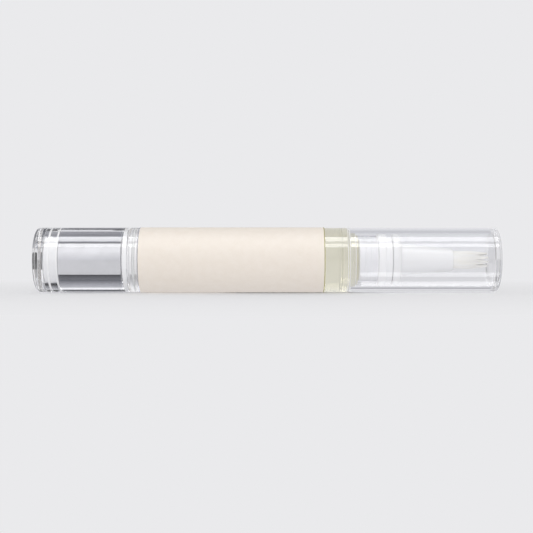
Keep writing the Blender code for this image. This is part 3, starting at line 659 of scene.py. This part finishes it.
class PEN_OT_oil(PenPiece, bpy.types.Operator):
    """Make the oil in the chamber, which shortens as the piston comes, and in the neck"""

    bl_idname = "pen.oil"
    bl_label = "Oil"

    def make(self, at, sizes, colours):
        back, front = span("oil_fill")
        wet = 0.02 * MM
        end, chamber, neck = at.chamber_end + wet, at.chamber + wet, at.neck_bore + wet
        split = at.chamber_end - 0.15 * MM
        corners = [
            (back, 0), (back, at.chamber - 0.05 * MM, 0.3), (back + 0.4 * MM, chamber, 0.2),
            (end, chamber, 0.8), (end, neck, 0.1), (front, neck, 0.1), (front, 0),
        ]
        whole = rounded(corners)
        cut = next(index for index, point in enumerate(whole) if point.x > split)
        edge = whole[cut - 1].lerp(whole[cut], (split - whole[cut - 1].x) / (whole[cut].x - whole[cut - 1].x))
        # The two parts are left open where they meet, so no face stands in the oil
        material = oil_finish("oil_pale", colours.oil)
        item = lofted("oil", [*whole[:cut], edge], SMOOTH)
        settled(item, "barrel", material, "oil_fill")
        settled(lofted("oil_neck", [edge, *whole[cut:]], SMOOTH), "barrel", material, "oil_fill")
        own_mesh(item)


class PEN_OT_fitting(PenPiece, bpy.types.Operator):
    """Make the white plug in the neck, with its flange and spigot"""

    bl_idname = "pen.fitting"
    bl_label = "Neck fitting"

    def make(self, at, sizes, colours):
        back, front = span("neck_fitting")
        flange_back = at.rim + at.seat
        flange_front = flange_back + 2.05 * MM
        plug, flange, hole = at.neck_bore - at.gap, at.cap_bore - 0.45 * MM, at.shank + at.gap
        low, spigot = plug - 0.1 * MM, SHARES.spigot * flange
        ribs = []
        for turn in (1, 2):
            middle = back + turn * (at.rim - back) / 3
            ribs += [(middle - 0.3 * MM, low), (middle, plug, 0.1), (middle + 0.3 * MM, low)]
        corners = [
            (back, hole), (back, low, 0.2), *ribs, (flange_back, low, 0.15), (flange_back, flange, 0.3),
            (flange_front, flange, 0.3), (flange_front, spigot, 0.12), (front, spigot, 0.25), (front, hole),
        ]
        # The fitting's white is a little lighter than the other mouldings: painted light that makes up for
        # the shade inside the neck's walls
        white = white_moulding("fitting_painted_light_white", opaque(colours.white, 1.045))
        settled(turned("fitting", corners), "barrel", white, "neck_fitting")


class PEN_OT_holder(PenPiece, bpy.types.Operator):
    """Make the tapered brush holder and the feed tube through it"""

    bl_idname = "pen.holder"
    bl_label = "Brush holder"

    def make(self, at, sizes, colours):
        back, mouth = span("brush_holder")
        tube_back, tube_front = span("feed_tube")
        foot_back = span("neck_fitting")[1] + 0.04 * MM
        foot_front = foot_back + at.seat + 1.86 * MM
        hole, socket_end = 1.05 * MM, tube_front + at.gap
        corners = [
            (back, hole), (back, at.shank, 0.2), (foot_back, at.shank, 0.1),
            (foot_back, sizes.foot_radius, 0.4), (foot_front, sizes.foot_radius, 1.1),
            (foot_front, sizes.cone_base, 0.6), (mouth, sizes.cone_tip, 0.2), (mouth, at.socket, 0.12),
            (socket_end, at.socket, 0.1), (socket_end, hole),
        ]
        white = white_moulding("holder_white", colours.white, 0.28)
        settled(turned("holder", corners), "barrel", white, "brush_holder")
        inner, outer = 0.5 * MM, 0.9 * MM
        walls = [(tube_back, inner), (tube_back, outer), (tube_front, outer), (tube_front, inner)]
        milky = white_moulding("feed_milky", opaque(colours.white, 0.98), 0.22)
        settled(turned("feed", walls, 64, 0.03), "barrel", milky, "feed_tube")


class PEN_OT_brush(PenPiece, bpy.types.Operator):
    """Make the brush: a backing slice and fine strands that gather into small tufts at their tips"""

    bl_idname = "pen.brush"
    bl_label = "Brush"

    def make(self, at, sizes, colours):
        back, tip = span("bristles")
        mouth = span("brush_holder")[1]
        radius = at.socket - at.gap
        dice = random.Random(11)
        pitch = 1.75 * sizes.strand
        rows = math.ceil(radius / pitch) + 1
        tufts = ((0.05, 0.68), (-0.42, 0.24), (0.44, 0.22), (-0.4, -0.2), (0.42, -0.24), (-0.05, -0.68))
        tufts = [Vector(tuft) * radius for tuft in tufts]
        reach = (back + 0.9 * MM, mouth, tip)
        mesh = bmesh.new()
        for row in range(-rows, rows + 1):
            for column in range(-rows, rows + 1):
                root = Vector(((column + (row % 2) / 2) * pitch, row * pitch * 0.866))
                if root.length <= radius - sizes.strand:
                    tuft = min(tufts, key=lambda tuft: abs(tuft.y - root.y) * 3 + abs(tuft.x - root.x))
                    self.strand(mesh, dice, root, tuft, radius, sizes.strand, reach)
        slab_end = mouth - 0.6 * MM
        slab = rounded([(back, 0), (back, radius), (slab_end, radius), (slab_end, 0)], 0.1)
        skinned(mesh, [ring(mesh, x, far, 72) for x, far in slab])
        item = finished("brush", mesh, 50)
        settled(item, "barrel", filament("brush_cream", colours.bristle), "bristles")

    def strand(self, mesh, dice, root, tuft, radius, thickness, reach):
        """One tapering strand, splayed a little at the holder's mouth and drawn into its tuft at its tip."""
        start, mouth, tip = reach
        far = root.length / radius
        end = tip - (0.35 * far**2 + 0.3 * (tuft - root).length / radius + 0.4 * dice.random()) * MM
        wander = Vector((dice.uniform(-1, 1), dice.uniform(-1, 1))) * 0.05 * MM
        rings = []
        steps, sides = 10, 5
        for step in range(steps + 1):
            x = start + (end - start) * (step / steps)
            free = max(0.0, (x - mouth) / (end - mouth))
            spread = 1.0 + 0.05 * math.sin(math.pi * min(1.0, free * 1.3))
            lean = max(0.0, (free - 0.6) / 0.4) ** 1.5
            middle = root * (spread + 0.02 * lean) + (tuft - root) * 0.62 * lean + wander * free
            thick = thickness * (1.0 - 0.55 * free**3)
            spots = [polar(thick, angle) for angle in round_angles(sides)]
            rings.append([mesh.verts.new((x, middle.x + y, middle.y + z)) for y, z in spots])
        skinned(mesh, rings)
        mesh.faces.new(rings[0])
        mesh.faces.new(rings[-1])


class PEN_OT_knob(PenPiece, bpy.types.Operator):
    """Make the clear knob shell"""

    bl_idname = "pen.knob"
    bl_label = "Knob"

    def make(self, at, sizes, colours):
        bore_end = at.knob_back + sizes.knob_end
        corners = [
            (at.knob_back, 0), (at.knob_back, at.body, sizes.end_edge / MM), (at.knob_mouth, at.body, 0.2),
            (at.knob_mouth, at.knob_bore, 0.2), (bore_end, at.knob_bore, 0.3), (bore_end, 0),
        ]
        clear = clear_plastic("knob_clear", colours.clear)
        settled(turned("knob", corners, SMOOTH), "knob", clear, "knob_shell")


class PEN_OT_inserts(PenPiece, bpy.types.Operator):
    """Make the silver sleeve and the white plug inside the knob"""

    bl_idname = "pen.inserts"
    bl_label = "Sleeve and plug"

    def make(self, at, sizes, colours):
        back, front = span("knob_sleeve")
        inside = back + sizes.sleeve_wall
        skin, slim = at.knob_bore + CONTACT, at.sleeve - 0.1 * MM
        corners = [
            (back, at.tail_hole), (back, skin, 0.12), (front, skin, 0.1), (front, at.sleeve_bore, 0.1),
            (inside + at.sleeve_bore - at.tail_hole, at.sleeve_bore), (inside, at.tail_hole),
        ]
        silver = silvered("sleeve_silver", colours.silver)
        settled(turned("sleeve", corners, SMOOTH), "knob", silver, "knob_sleeve")
        plug_back, plug_front = span("knob_plug")[0], back - 0.03 * MM
        floor, lip = plug_back + 1.2 * MM, plug_front - 0.5 * MM
        cup = [
            (plug_back, 0), (plug_back, slim, 0.1), *notch(floor, 0.3 * MM, slim, skin, 0.05),
            (lip, slim, 0.05), (lip, skin, 0.05), (plug_front, skin, 0.05), (plug_front, at.tail_hole, 0.1),
            (floor, at.tail_hole, 0.2), (floor, 0),
        ]
        white = white_moulding("plug_white", colours.white, 0.26)
        settled(turned("plug", cup), "knob", white, "knob_plug")


class PEN_OT_drive(PenPiece, bpy.types.Operator):
    """Make the white drive tube with its collar, journal, ratchet seat and keyed nose, and its rubber seal"""

    bl_idname = "pen.drive"
    bl_label = "Drive tube"

    def make(self, at, sizes, colours):
        back, front = span("drive_tube")
        insert_back = span("thread_insert")[0]
        sleeve_back, sleeve_front = span("knob_sleeve")
        collar_back, collar_front = at.barrel_back + at.gap, insert_back - at.seat
        collar, stop, stop_back = at.chamber + CONTACT, at.knob_bore + CONTACT, sleeve_front + at.seat
        body = at.sleeve_bore - at.gap
        body_back = sleeve_back + sizes.sleeve_wall + at.sleeve_bore - at.tail_hole + at.seat
        journal = at.journal - at.gap
        snap, half_snap = (insert_back + at.journal_front) / 2, 0.35 * MM
        middle, half = (collar_back + collar_front) / 2, 0.33 * MM
        groove = at.chamber - at.gap - 0.95 * MM
        bore, bevel = at.drive_bore, 0.2 * MM
        tail, rear_end = at.tail_hole - at.gap, at.journal_front - 1.0 * MM
        rear = tail - 0.9 * MM
        key_back, key = front - THREADED, flatted(at.screw + at.gap, at.flats + at.gap)
        seat = flatted(at.nose, at.seat_flats)
        outline = [
            (back, rear), (back, tail, 0.2), (body_back, tail, 0.1), (body_back, body, 0.2),
            (stop_back, body, 0.1), (stop_back, stop, 0.12), (at.knob_mouth - 0.2 * MM, stop, 0.1),
            (at.knob_mouth - 0.05 * MM, at.sleeve, 0.1), (collar_back, at.sleeve, 0.1),
            (collar_back, collar, 0.2), *notch(middle, half, collar, groove), (collar_front, collar, 0.2),
            (collar_front, journal, 0.1), (snap - half_snap, journal), (snap, journal + 0.2 * MM, 0.2),
            (snap + half_snap, journal), (at.journal_front, journal, 0.2), (at.journal_front, at.nose),
            (at.ratchet_back, at.nose, 0), (key_back, bore, 0), (rear_end, bore, 0), (rear_end, rear, 0),
        ]
        points = rounded(outline)
        # The seat's flats and the keyed nose come before the last three points, which are the bore
        flats = [(at.ratchet_back, seat), (at.ratchet_front, seat), (at.ratchet_front, at.nose)]
        flats += [(front - bevel, at.nose), (front, at.nose - bevel), (front, key), (key_back, key)]
        item = lofted("drive", [*points[:-3], *flats, *points[-3:]])
        settled(item, "knob", white_moulding("drive_white", colours.white, 0.34), "drive_tube")

        def on_collar(face):
            return collar_back < face.center.x < collar_front and face.center.yz.length > journal

        coated(item, pearl("drive_pearl", colours.white), on_collar)
        seal = turned("seal", notch(middle, -0.3 * MM, groove + at.gap / 2, collar))
        settled(seal, "knob", rubber("seal_grey", colours.rubber), "drive_seal")


class PEN_OT_screw(PenPiece, bpy.types.Operator):
    """Make the lead screw: a two-start thread with two flats, and the head that the piston snaps over"""

    bl_idname = "pen.screw"
    bl_label = "Lead screw"

    def make(self, at, sizes, colours):
        back, front = span("lead_screw")
        piston_back = span("piston")[0]
        rod_front = piston_back - at.seat
        head_back = piston_back + 1.3 * MM
        bevel, edge, nick = 0.6 * MM, 0.08 * MM, 0.05 * MM
        step = sizes.thread_lead / 20
        count = int((rod_front - back - 1.4 * MM) / step)
        stations = [(back, 0), (back, at.screw - bevel)]
        for index in range(count + 1):
            stations.append((back + bevel + index * step, self.thread(at, sizes, back + index * step)))
        rod_end = stations[-1][0] + 0.2 * MM
        stations += [(rod_end, at.stem * 1.2), (rod_end + 0.1 * MM, at.stem), (head_back - nick, at.stem)]
        stations += [(head_back, at.stem + nick), (head_back, at.head - edge), (head_back + edge, at.head)]
        dome = at.head / 2
        curve = [polar(dome, math.radians(90 * turn / 8)) for turn in range(9)]
        stations += [(front - dome + on, at.head - dome + out) for out, on in curve]
        item = lofted("screw", [*stations, (front, 0)], 96, 50)
        settled(item, "screw", white_moulding("screw_white", colours.white), "lead_screw")

    def thread(self, at, sizes, x):
        """The radius round the screw at one place: a thread with soft sides, cut by the two flats."""
        flat = flatted(at.screw, at.flats)

        def at_angle(angle):
            rise = crest(x, angle, sizes.thread_lead, 0.22)
            smooth = rise * rise * (3 - 2 * rise)
            return min(flat(angle), at.screw - sizes.thread_depth * (1 - smooth))

        return at_angle


class PEN_OT_insert(PenPiece, bpy.types.Operator):
    """Make the pressed-in nut with its threaded hole and the skirt's journal and saw teeth"""

    bl_idname = "pen.insert"
    bl_label = "Thread insert"

    def make(self, at, sizes, colours):
        back, front = span("thread_insert")
        outer, edge = at.chamber - at.gap, 0.2 * MM
        teeth_back, teeth_front = at.ratchet_back - at.gap, at.ratchet_front + at.seat
        hole, nut_back, bearing = at.screw + at.gap, front - THREADED, at.nose + at.gap
        stations = [(front, hole), (front, outer - edge), (front - edge, outer)]
        ribs, half_rib = 12, 0.15 * MM
        for rib in range(1, ribs):
            place = front - edge - rib * (front - back - 2 * edge) / ribs
            stations += [(place + half_rib, outer), (place, outer - 0.06 * MM), (place - half_rib, outer)]
        stations += [(back + edge, outer), (back, outer - edge), (back, at.journal)]
        stations += notch((back + at.journal_front) / 2, 0.5 * MM, at.journal, at.journal + 0.2 * MM)
        tooth = self.teeth(at)
        stations += [(teeth_back, at.journal), (teeth_back, tooth), (teeth_front, tooth)]
        stations += [(teeth_front, bearing), (nut_back, bearing)]
        turns = int(THREADED / sizes.thread_lead * 24)
        for index in range(turns + 1):
            x = nut_back + THREADED * index / turns
            stations.append((x, self.thread(hole, sizes.thread_lead, x)))
        item = lofted("insert", stations, 180, 30)
        settled(item, "barrel", white_moulding("insert_white", colours.white, 0.36), "thread_insert")

    def teeth(self, at):
        """Saw teeth: a steep face, then a ramp to the next crest."""

        def at_angle(angle):
            phase = (angle * TEETH / TAU) % 1.0
            if phase < STEEP:
                return at.crest + (at.valley - at.crest) * phase / STEEP
            return at.valley + (at.crest - at.valley) * (phase - STEEP) / (1 - STEEP)

        return at_angle

    def thread(self, hole, lead, x):
        return lambda angle: hole - 0.3 * MM * (1 - crest(x, angle, lead, 0.3))


class PEN_OT_ratchet(PenPiece, bpy.types.Operator):
    """Make the ratchet ring: a keyed hub with two spring arms that end in pawls"""

    bl_idname = "pen.ratchet"
    bl_label = "Ratchet ring"

    def make(self, at, sizes, colours):
        pawl = at.crest + PAWL_REACH * (at.valley - at.crest)
        pitch, arm, foot = TAU / TEETH, math.radians(118), math.radians(16)
        outline = []
        for turn in (0, math.pi):
            tip = turn + 0.12 * pitch
            root = tip + arm
            outline += self.sweep(at.hub, root - math.pi + foot, root)
            outline += self.sweep(at.arm_inner, root, tip) + self.sweep(pawl, tip, tip + 0.05 * pitch, 2)
            outline += self.sweep(at.arm_outer, tip + 0.7 * pitch, root + foot)
        key = flatted(at.nose + at.gap, at.seat_flats + at.gap)
        hole = [polar(key(angle), angle) for angle in round_angles(72)]
        mesh = bmesh.new()
        edges = []
        for loop in (outline, hole):
            chain = [mesh.verts.new((at.ratchet_back, y, z)) for y, z in loop]
            edges += [mesh.edges.new((chain[step - 1], chain[step])) for step in range(len(chain))]
        bmesh.ops.triangle_fill(mesh, edges=edges, use_beauty=True)
        grown = bmesh.ops.extrude_face_region(mesh, geom=mesh.faces[:])["geom"]
        moved = [part for part in grown if isinstance(part, bmesh.types.BMVert)]
        bmesh.ops.translate(mesh, verts=moved, vec=(at.ratchet_front - at.ratchet_back, 0, 0))
        item = finished("pawls", mesh, 30)
        settled(item, "knob", white_moulding("pawls_white", colours.white), "ratchet_ring")

    def sweep(self, radius, start, end, steps=24):
        return [polar(radius, start + (end - start) * step / steps) for step in range(steps + 1)]


class PEN_OT_piston(PenPiece, bpy.types.Operator):
    """Make the piston and the soft ring in its groove"""

    bl_idname = "pen.piston"
    bl_label = "Piston"

    def make(self, at, sizes, colours):
        back, front = span("piston")
        land, depth = at.chamber - at.gap, 1.0 * MM
        groove, waist = land - 0.9 * MM, land - depth
        nose = front - 1.2 * MM
        half = 0.525 * MM
        middle = nose - 0.8 * MM - half
        waist_front = middle - half - 1.6 * MM
        waist_back = waist_front - 2.0 * MM
        stem, head = at.stem + at.gap, at.head + at.gap
        socket_back = back + 1.0 * MM
        socket_front = socket_back + 4.5 * MM
        corners = [
            (front, 0), (front, land - 1.2 * MM, 0.3), (nose, land, 0.3),
            *notch(middle, -half, land, groove), (waist_front, land, 0.2),
            (waist_front - depth, waist, 0.3), (waist_back, waist, 0.3),
            (waist_back - depth / 2, land, 0.2), (back, land, 0.2), (back, stem, 0.1),
            (socket_back, stem, 0.1), (socket_back, head, 0.1), (socket_front, head, 0.3),
            (socket_front, 0),
        ]
        white = white_moulding("plunger_white", colours.white, 0.36)
        settled(turned("plunger", corners), "piston", white, "piston")
        # The soft ring has a round section
        inner, outer = groove + at.gap / 2, at.chamber - at.gap / 2
        section = (outer - inner) / 2
        rounds = [polar(section, angle) for angle in round_angles(20)]
        wiper = lofted("wiper", [(middle + on, inner + section + out) for on, out in rounds], 128)
        settled(wiper, "piston", rubber("wiper_grey", colours.rubber), "piston_ring")


class PEN_OT_stage(bpy.types.Operator):
    """Make the pale floor, the studio light and the camera"""

    bl_idname = "pen.stage"
    bl_label = "Studio"
    bl_options = {"REGISTER", "UNDO"}

    # Levels of the surround by degrees round the pen: 0 is the camera's side, 90 above, 180 behind
    knob_side = (
        (0, 0.79), (10, 0.87), (22, 0.97), (40, 1.12), (54, 1.12), (64, 0.97), (74, 0.97), (78, 0.22),
        (83, 0.25), (90, 0.62), (97, 0.74), (108, 0.9), (116, 0.9), (119, 0.34), (130, 0.27), (148, 0.36),
        (160, 0.46), (172, 0.6), (180, 0.5),
    )
    cap_side = (
        (0, 0.90), (40, 1.08), (62, 0.95), (84, 0.6), (92, 0.72), (104, 0.7), (121, 0.5), (140, 0.62),
        (160, 0.8), (180, 0.823),
    )

    def execute(self, context):
        studio = context.scene.pen_studio
        self.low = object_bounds()[0][2]
        self.floor(studio)
        self.painted_reflections()
        self.surround(context.scene, studio)
        self.lamps(studio)
        self.camera(context.scene, studio)
        context.scene.view_settings.view_transform = "Standard"
        return {"FINISHED"}

    def floor(self, studio):
        """A wide pale floor at the label's lowest line, which fades to the backdrop away from the pen."""
        mesh = bmesh.new()
        bmesh.ops.create_grid(mesh, x_segments=24, y_segments=24, size=3.0)
        item = finished("floor", mesh)
        item.location.z = self.low
        finish = Finish("floor_pale")
        tone = finish.ranged(finish.noise(900), 0.992, 1.0)
        body = finish.mixed(tone, opaque(studio.floor, 0.97), opaque(studio.floor))
        matt = finish.principled(Base_Color=body, Roughness=0.9, Specular_IOR_Level=0.0)
        reach = finish.add("ShaderNodeVectorMath", {0: finish.place((0.45, 1, 1))}, operation="LENGTH")
        far = finish.ranged(reach.outputs["Value"], 0.0, 1.0, 32 * MM, 110 * MM)
        camera, plain = finish.path()["Is Camera Ray"], finish.glow(opaque(studio.background))
        seen = finish.blend(finish.maths("MULTIPLY", camera, far), matt, plain)
        surface = finish.blend(camera, finish.glow(opaque(studio.background, 0.94)), seen)
        item.data.materials.append(finish.close(surface))
        item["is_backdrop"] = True

    def sheet(self, name, spots, height, material, gloss, through):
        """A glowing sheet that the camera, soft light and shadows don't show."""
        mesh = bmesh.new()
        mesh.faces.new([mesh.verts.new(spot) for spot in spots])
        item = finished(name, mesh)
        item.location.z = height
        item.data.materials.append(material)
        item.visible_camera = item.visible_diffuse = item.visible_shadow = False
        item.visible_glossy, item.visible_transmission = gloss, through
        item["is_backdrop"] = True

    def painted_reflection_card(self, name, left, right, near, far, stops, through=True):
        """A graded glowing sheet on the floor, which only gloss, and clear plastic if it is let through,
        show: a painted reflection of shade and light.
        """
        finish = Finish(name + "_graded")
        glow = finish.glow(finish.graded(finish.along("Y", near * MM, far * MM), stops))
        spots = [(x * MM, y * MM, 0) for x, y in ((left, near), (right, near), (right, far), (left, far))]
        self.sheet(name, spots, self.low + 0.02 * MM, finish.close(glow), True, through)

    def painted_refraction_board(self, name, left, right, top, behind, darker, lighter):
        """A glowing grey sheet that stands behind, which only clear plastic shows: painted shade and light
        seen through the clear shells.
        """
        finish = Finish(name + "_grey")
        tone = finish.ranged(finish.noise(120, 2.0), darker, lighter, 0.35, 0.65)
        places = ((left, self.low), (right, self.low), (right, top * MM), (left, top * MM))
        spots = [(x * MM, behind * MM, z) for x, z in places]
        self.sheet(name, spots, 0, finish.close(finish.glow((1, 1, 1.02, 1), tone)), False, True)

    def painted_reflections(self):
        # Painted reflections: glowing cards under the sleeve, collar and plug, dark under the pen and lighter
        # behind it, draw bands of shade in their gloss
        sleeve = ((0, 0.03), (0.06, 0.1), (0.28, 0.2), (0.45, 0.45), (0.6, 0.74), (0.68, 1.5), (0.94, 1.3))
        self.painted_reflection_card("painted_reflection_sleeve", -55.2, -36.6, -7.8, 5, (*sleeve, (1, 1.2)))
        collar = ((0, 0.15), (0.1, 0.04), (0.2, 0.12), (0.28, 0.33), (0.35, 0.52), (0.43, 0.8), (0.52, 1.15))
        self.painted_reflection_card("painted_reflection_collar", -36.9, -33.2, -9.4, 5, (*collar, (1, 1.5)))
        # Painted shade and light seen through the knob's clear end: glowing boards, some dark and some
        # brighter than the backdrop
        self.painted_refraction_board("painted_refraction_end", -50, -31, 26, 70, 0.28, 0.55)
        self.painted_refraction_board("painted_refraction_low", -55.5, -36.5, -3.5, 9, 0.03, 0.08)
        self.painted_refraction_board("painted_refraction_edge", -67, -37, 9.5, 62, 0.07, 0.14)
        self.painted_refraction_board("painted_refraction_bright", -76, -37, 36, 100, 1.1, 1.2)
        self.painted_refraction_board("painted_refraction_pale", -78, -37, 60, 110, 0.86, 0.92)
        self.painted_refraction_board("painted_refraction_left", -92, -68, 32, 70, 0.08, 0.2)
        self.painted_refraction_board("painted_refraction_behind", -60, 5, 220, 300, 0.6, 0.68)
        # A painted dark patch behind the knob's end, seen in gloss and through the clear knob as a dark
        # outline
        behind = ((0, 0.08), (0.25, 0.12), (0.5, 0.18), (0.8, 0.4), (1, 0.5))
        self.painted_reflection_card("painted_reflection_behind", -76, -37, 5, 44, behind)
        plug = ((0, 0.5), (0.33, 0.85), (0.38, 0.05), (0.46, 0.02), (0.54, 0.2), (0.7, 0.35), (1, 0.9))
        self.painted_reflection_card("painted_reflection_plug", -60.5, -55.2, -7.1, 5, plug)
        # Painted highlights: glowing cards under the cap, far brighter than the backdrop, that only its gloss
        # shows
        self.painted_reflection_card("painted_highlight_cap_front", 24.6, 66, -13.5, -9.6, ((0, 3.0), (0.5, 4.5), (1, 3.5)), False)
        self.painted_reflection_card("painted_highlight_cap_under", 24.6, 66, -6.9, -4.6, ((0, 3.5), (0.6, 5.0), (1, 4.0)), False)
        # A painted shadow line: a dark band on the floor under the cap, seen in its gloss and through its
        # wall
        line = ((0, 0.85), (0.2, 0.5), (0.5, 0.3), (0.7, 0.7), (1, 0.85))
        self.painted_reflection_card("painted_shadow_cap_line", 22, 62, -2.7, -0.8, line)

    def surround(self, scene, studio):
        """The backdrop as the camera sees it, and the soft gradient that gloss and clear plastic show."""
        scene.world = bpy.data.worlds.new("studio_surround")
        finish = Finish("studio_surround", scene.world)
        where = finish.add("ShaderNodeTexCoord").outputs["Generated"]
        along, toward, up = finish.add("ShaderNodeSeparateXYZ", {0: where}).outputs
        angle = finish.maths("ARCTAN2", up, finish.maths("MULTIPLY", toward, -1.0))
        turn = finish.ranged(angle, 0.0, 1.0, 0.0, math.pi)
        sides = (self.knob_side, self.cap_side)
        levels = [finish.graded(turn, [(degrees / 180, level) for degrees, level in side]) for side in sides]
        soft = finish.mixed(finish.ranged(along, 0, 1, -0.08, 0.02), *levels)
        for start, end, level in ((0.4, 0.56, 0.45), (-0.45, -0.75, 0.5)):
            soft = finish.mixed(finish.ranged(along, 0, 1, start, end), soft, opaque((1, 1, 1.01), level))
        path = finish.path()
        seen = finish.maths("MAXIMUM", path["Is Glossy Ray"], path["Is Transmission Ray"])
        lit = finish.mixed(seen, opaque((1, 1, 1), studio.surround), soft)
        view = finish.mixed(path["Is Camera Ray"], lit, opaque(studio.background))
        shader = finish.add("ShaderNodeBackground", {"Color": view})
        finish.add("ShaderNodeOutputWorld", {"Surface": shader.outputs[0]})

    def lamps(self, studio):
        """Two soft lamps, and three strip boxes that only gloss shows."""
        self.strip("lamp_overhead", 50, 0.9, 0.9, 0.9, studio.overhead, gloss=False)
        self.strip("lamp_fill", 9, 0.9, 0.4, 0.6, studio.fill, gloss=False)
        self.strip("lamp_front_strip", 53.5, 0.5, 0.115, 0.6, studio.strips)
        self.strip("lamp_top_strip", 79.5, 0.5, 0.175, 0.6, studio.strips)
        self.strip("lamp_oil_strip", 67, 0.5, 0.42, 0.026, studio.strips * 0.4, along=0.052)

    def strip(self, name, degrees, distance, width, length, radiance, gloss=True, along=0):
        """A lamp that faces the pen from some way round its axis: 0 is the camera's side and 90 is above."""
        light = bpy.data.lights.new(name, "AREA")
        light.shape = "RECTANGLE"
        light.size, light.size_y = length, width
        light.energy = radiance * math.pi * width * length
        lamp = placed(name, light)
        angle = math.radians(degrees)
        lamp.location = (along, -distance * math.cos(angle), distance * math.sin(angle))
        lamp.rotation_euler = (math.pi / 2 - angle, 0, 0)
        lamp.visible_camera = lamp.visible_transmission = False
        lamp.visible_diffuse, lamp.visible_glossy = not gloss, gloss

    def camera(self, scene, studio):
        lens = bpy.data.cameras.new("camera")
        lens.lens = studio.lens
        lens.sensor_width = 36
        lens.clip_start = 10 * MM
        item = placed("camera", lens)
        rise = math.radians(1.0)
        target = Vector((-0.19 * MM, 0, -1.76 * MM))
        item.location = target + studio.distance * Vector((0, -math.cos(rise), math.sin(rise)))
        item.rotation_euler = (math.pi / 2 - rise, 0, 0)
        scene.camera = item


OPERATORS = (*PenPiece.__subclasses__(), PEN_OT_stage)


class PEN_PT_panel(bpy.types.Panel):
    """Sizes, colours and a button for each piece"""

    bl_label = "Brush pen"
    bl_idname = "PEN_PT_panel"
    bl_space_type = "VIEW_3D"
    bl_region_type = "UI"
    bl_category = "Brush pen"

    def draw(self, context):
        for name, group in GROUPS.items():
            box = self.layout.box()
            for row in group.__annotations__:
                box.prop(getattr(context.scene, name), row)
        for operator in OPERATORS:
            self.layout.operator(operator.bl_idname)


GROUPS = {"pen_sizes": PenSizes, "pen_colours": PenColours, "pen_studio": PenStudio}
CLASSES = (*GROUPS.values(), *OPERATORS, PEN_PT_panel)


def register():
    for item in CLASSES:
        bpy.utils.register_class(item)
    for name, group in GROUPS.items():
        setattr(bpy.types.Scene, name, bpy.props.PointerProperty(type=group))


def unregister():
    for name in GROUPS:
        delattr(bpy.types.Scene, name)
    for item in reversed(CLASSES):
        bpy.utils.unregister_class(item)


def build():
    """Makes every piece, then the studio round them."""
    register()
    for operator in OPERATORS:
        family, name = operator.bl_idname.split(".")
        getattr(getattr(bpy.ops, family), name)()


if __name__ == "__main__":
    build()
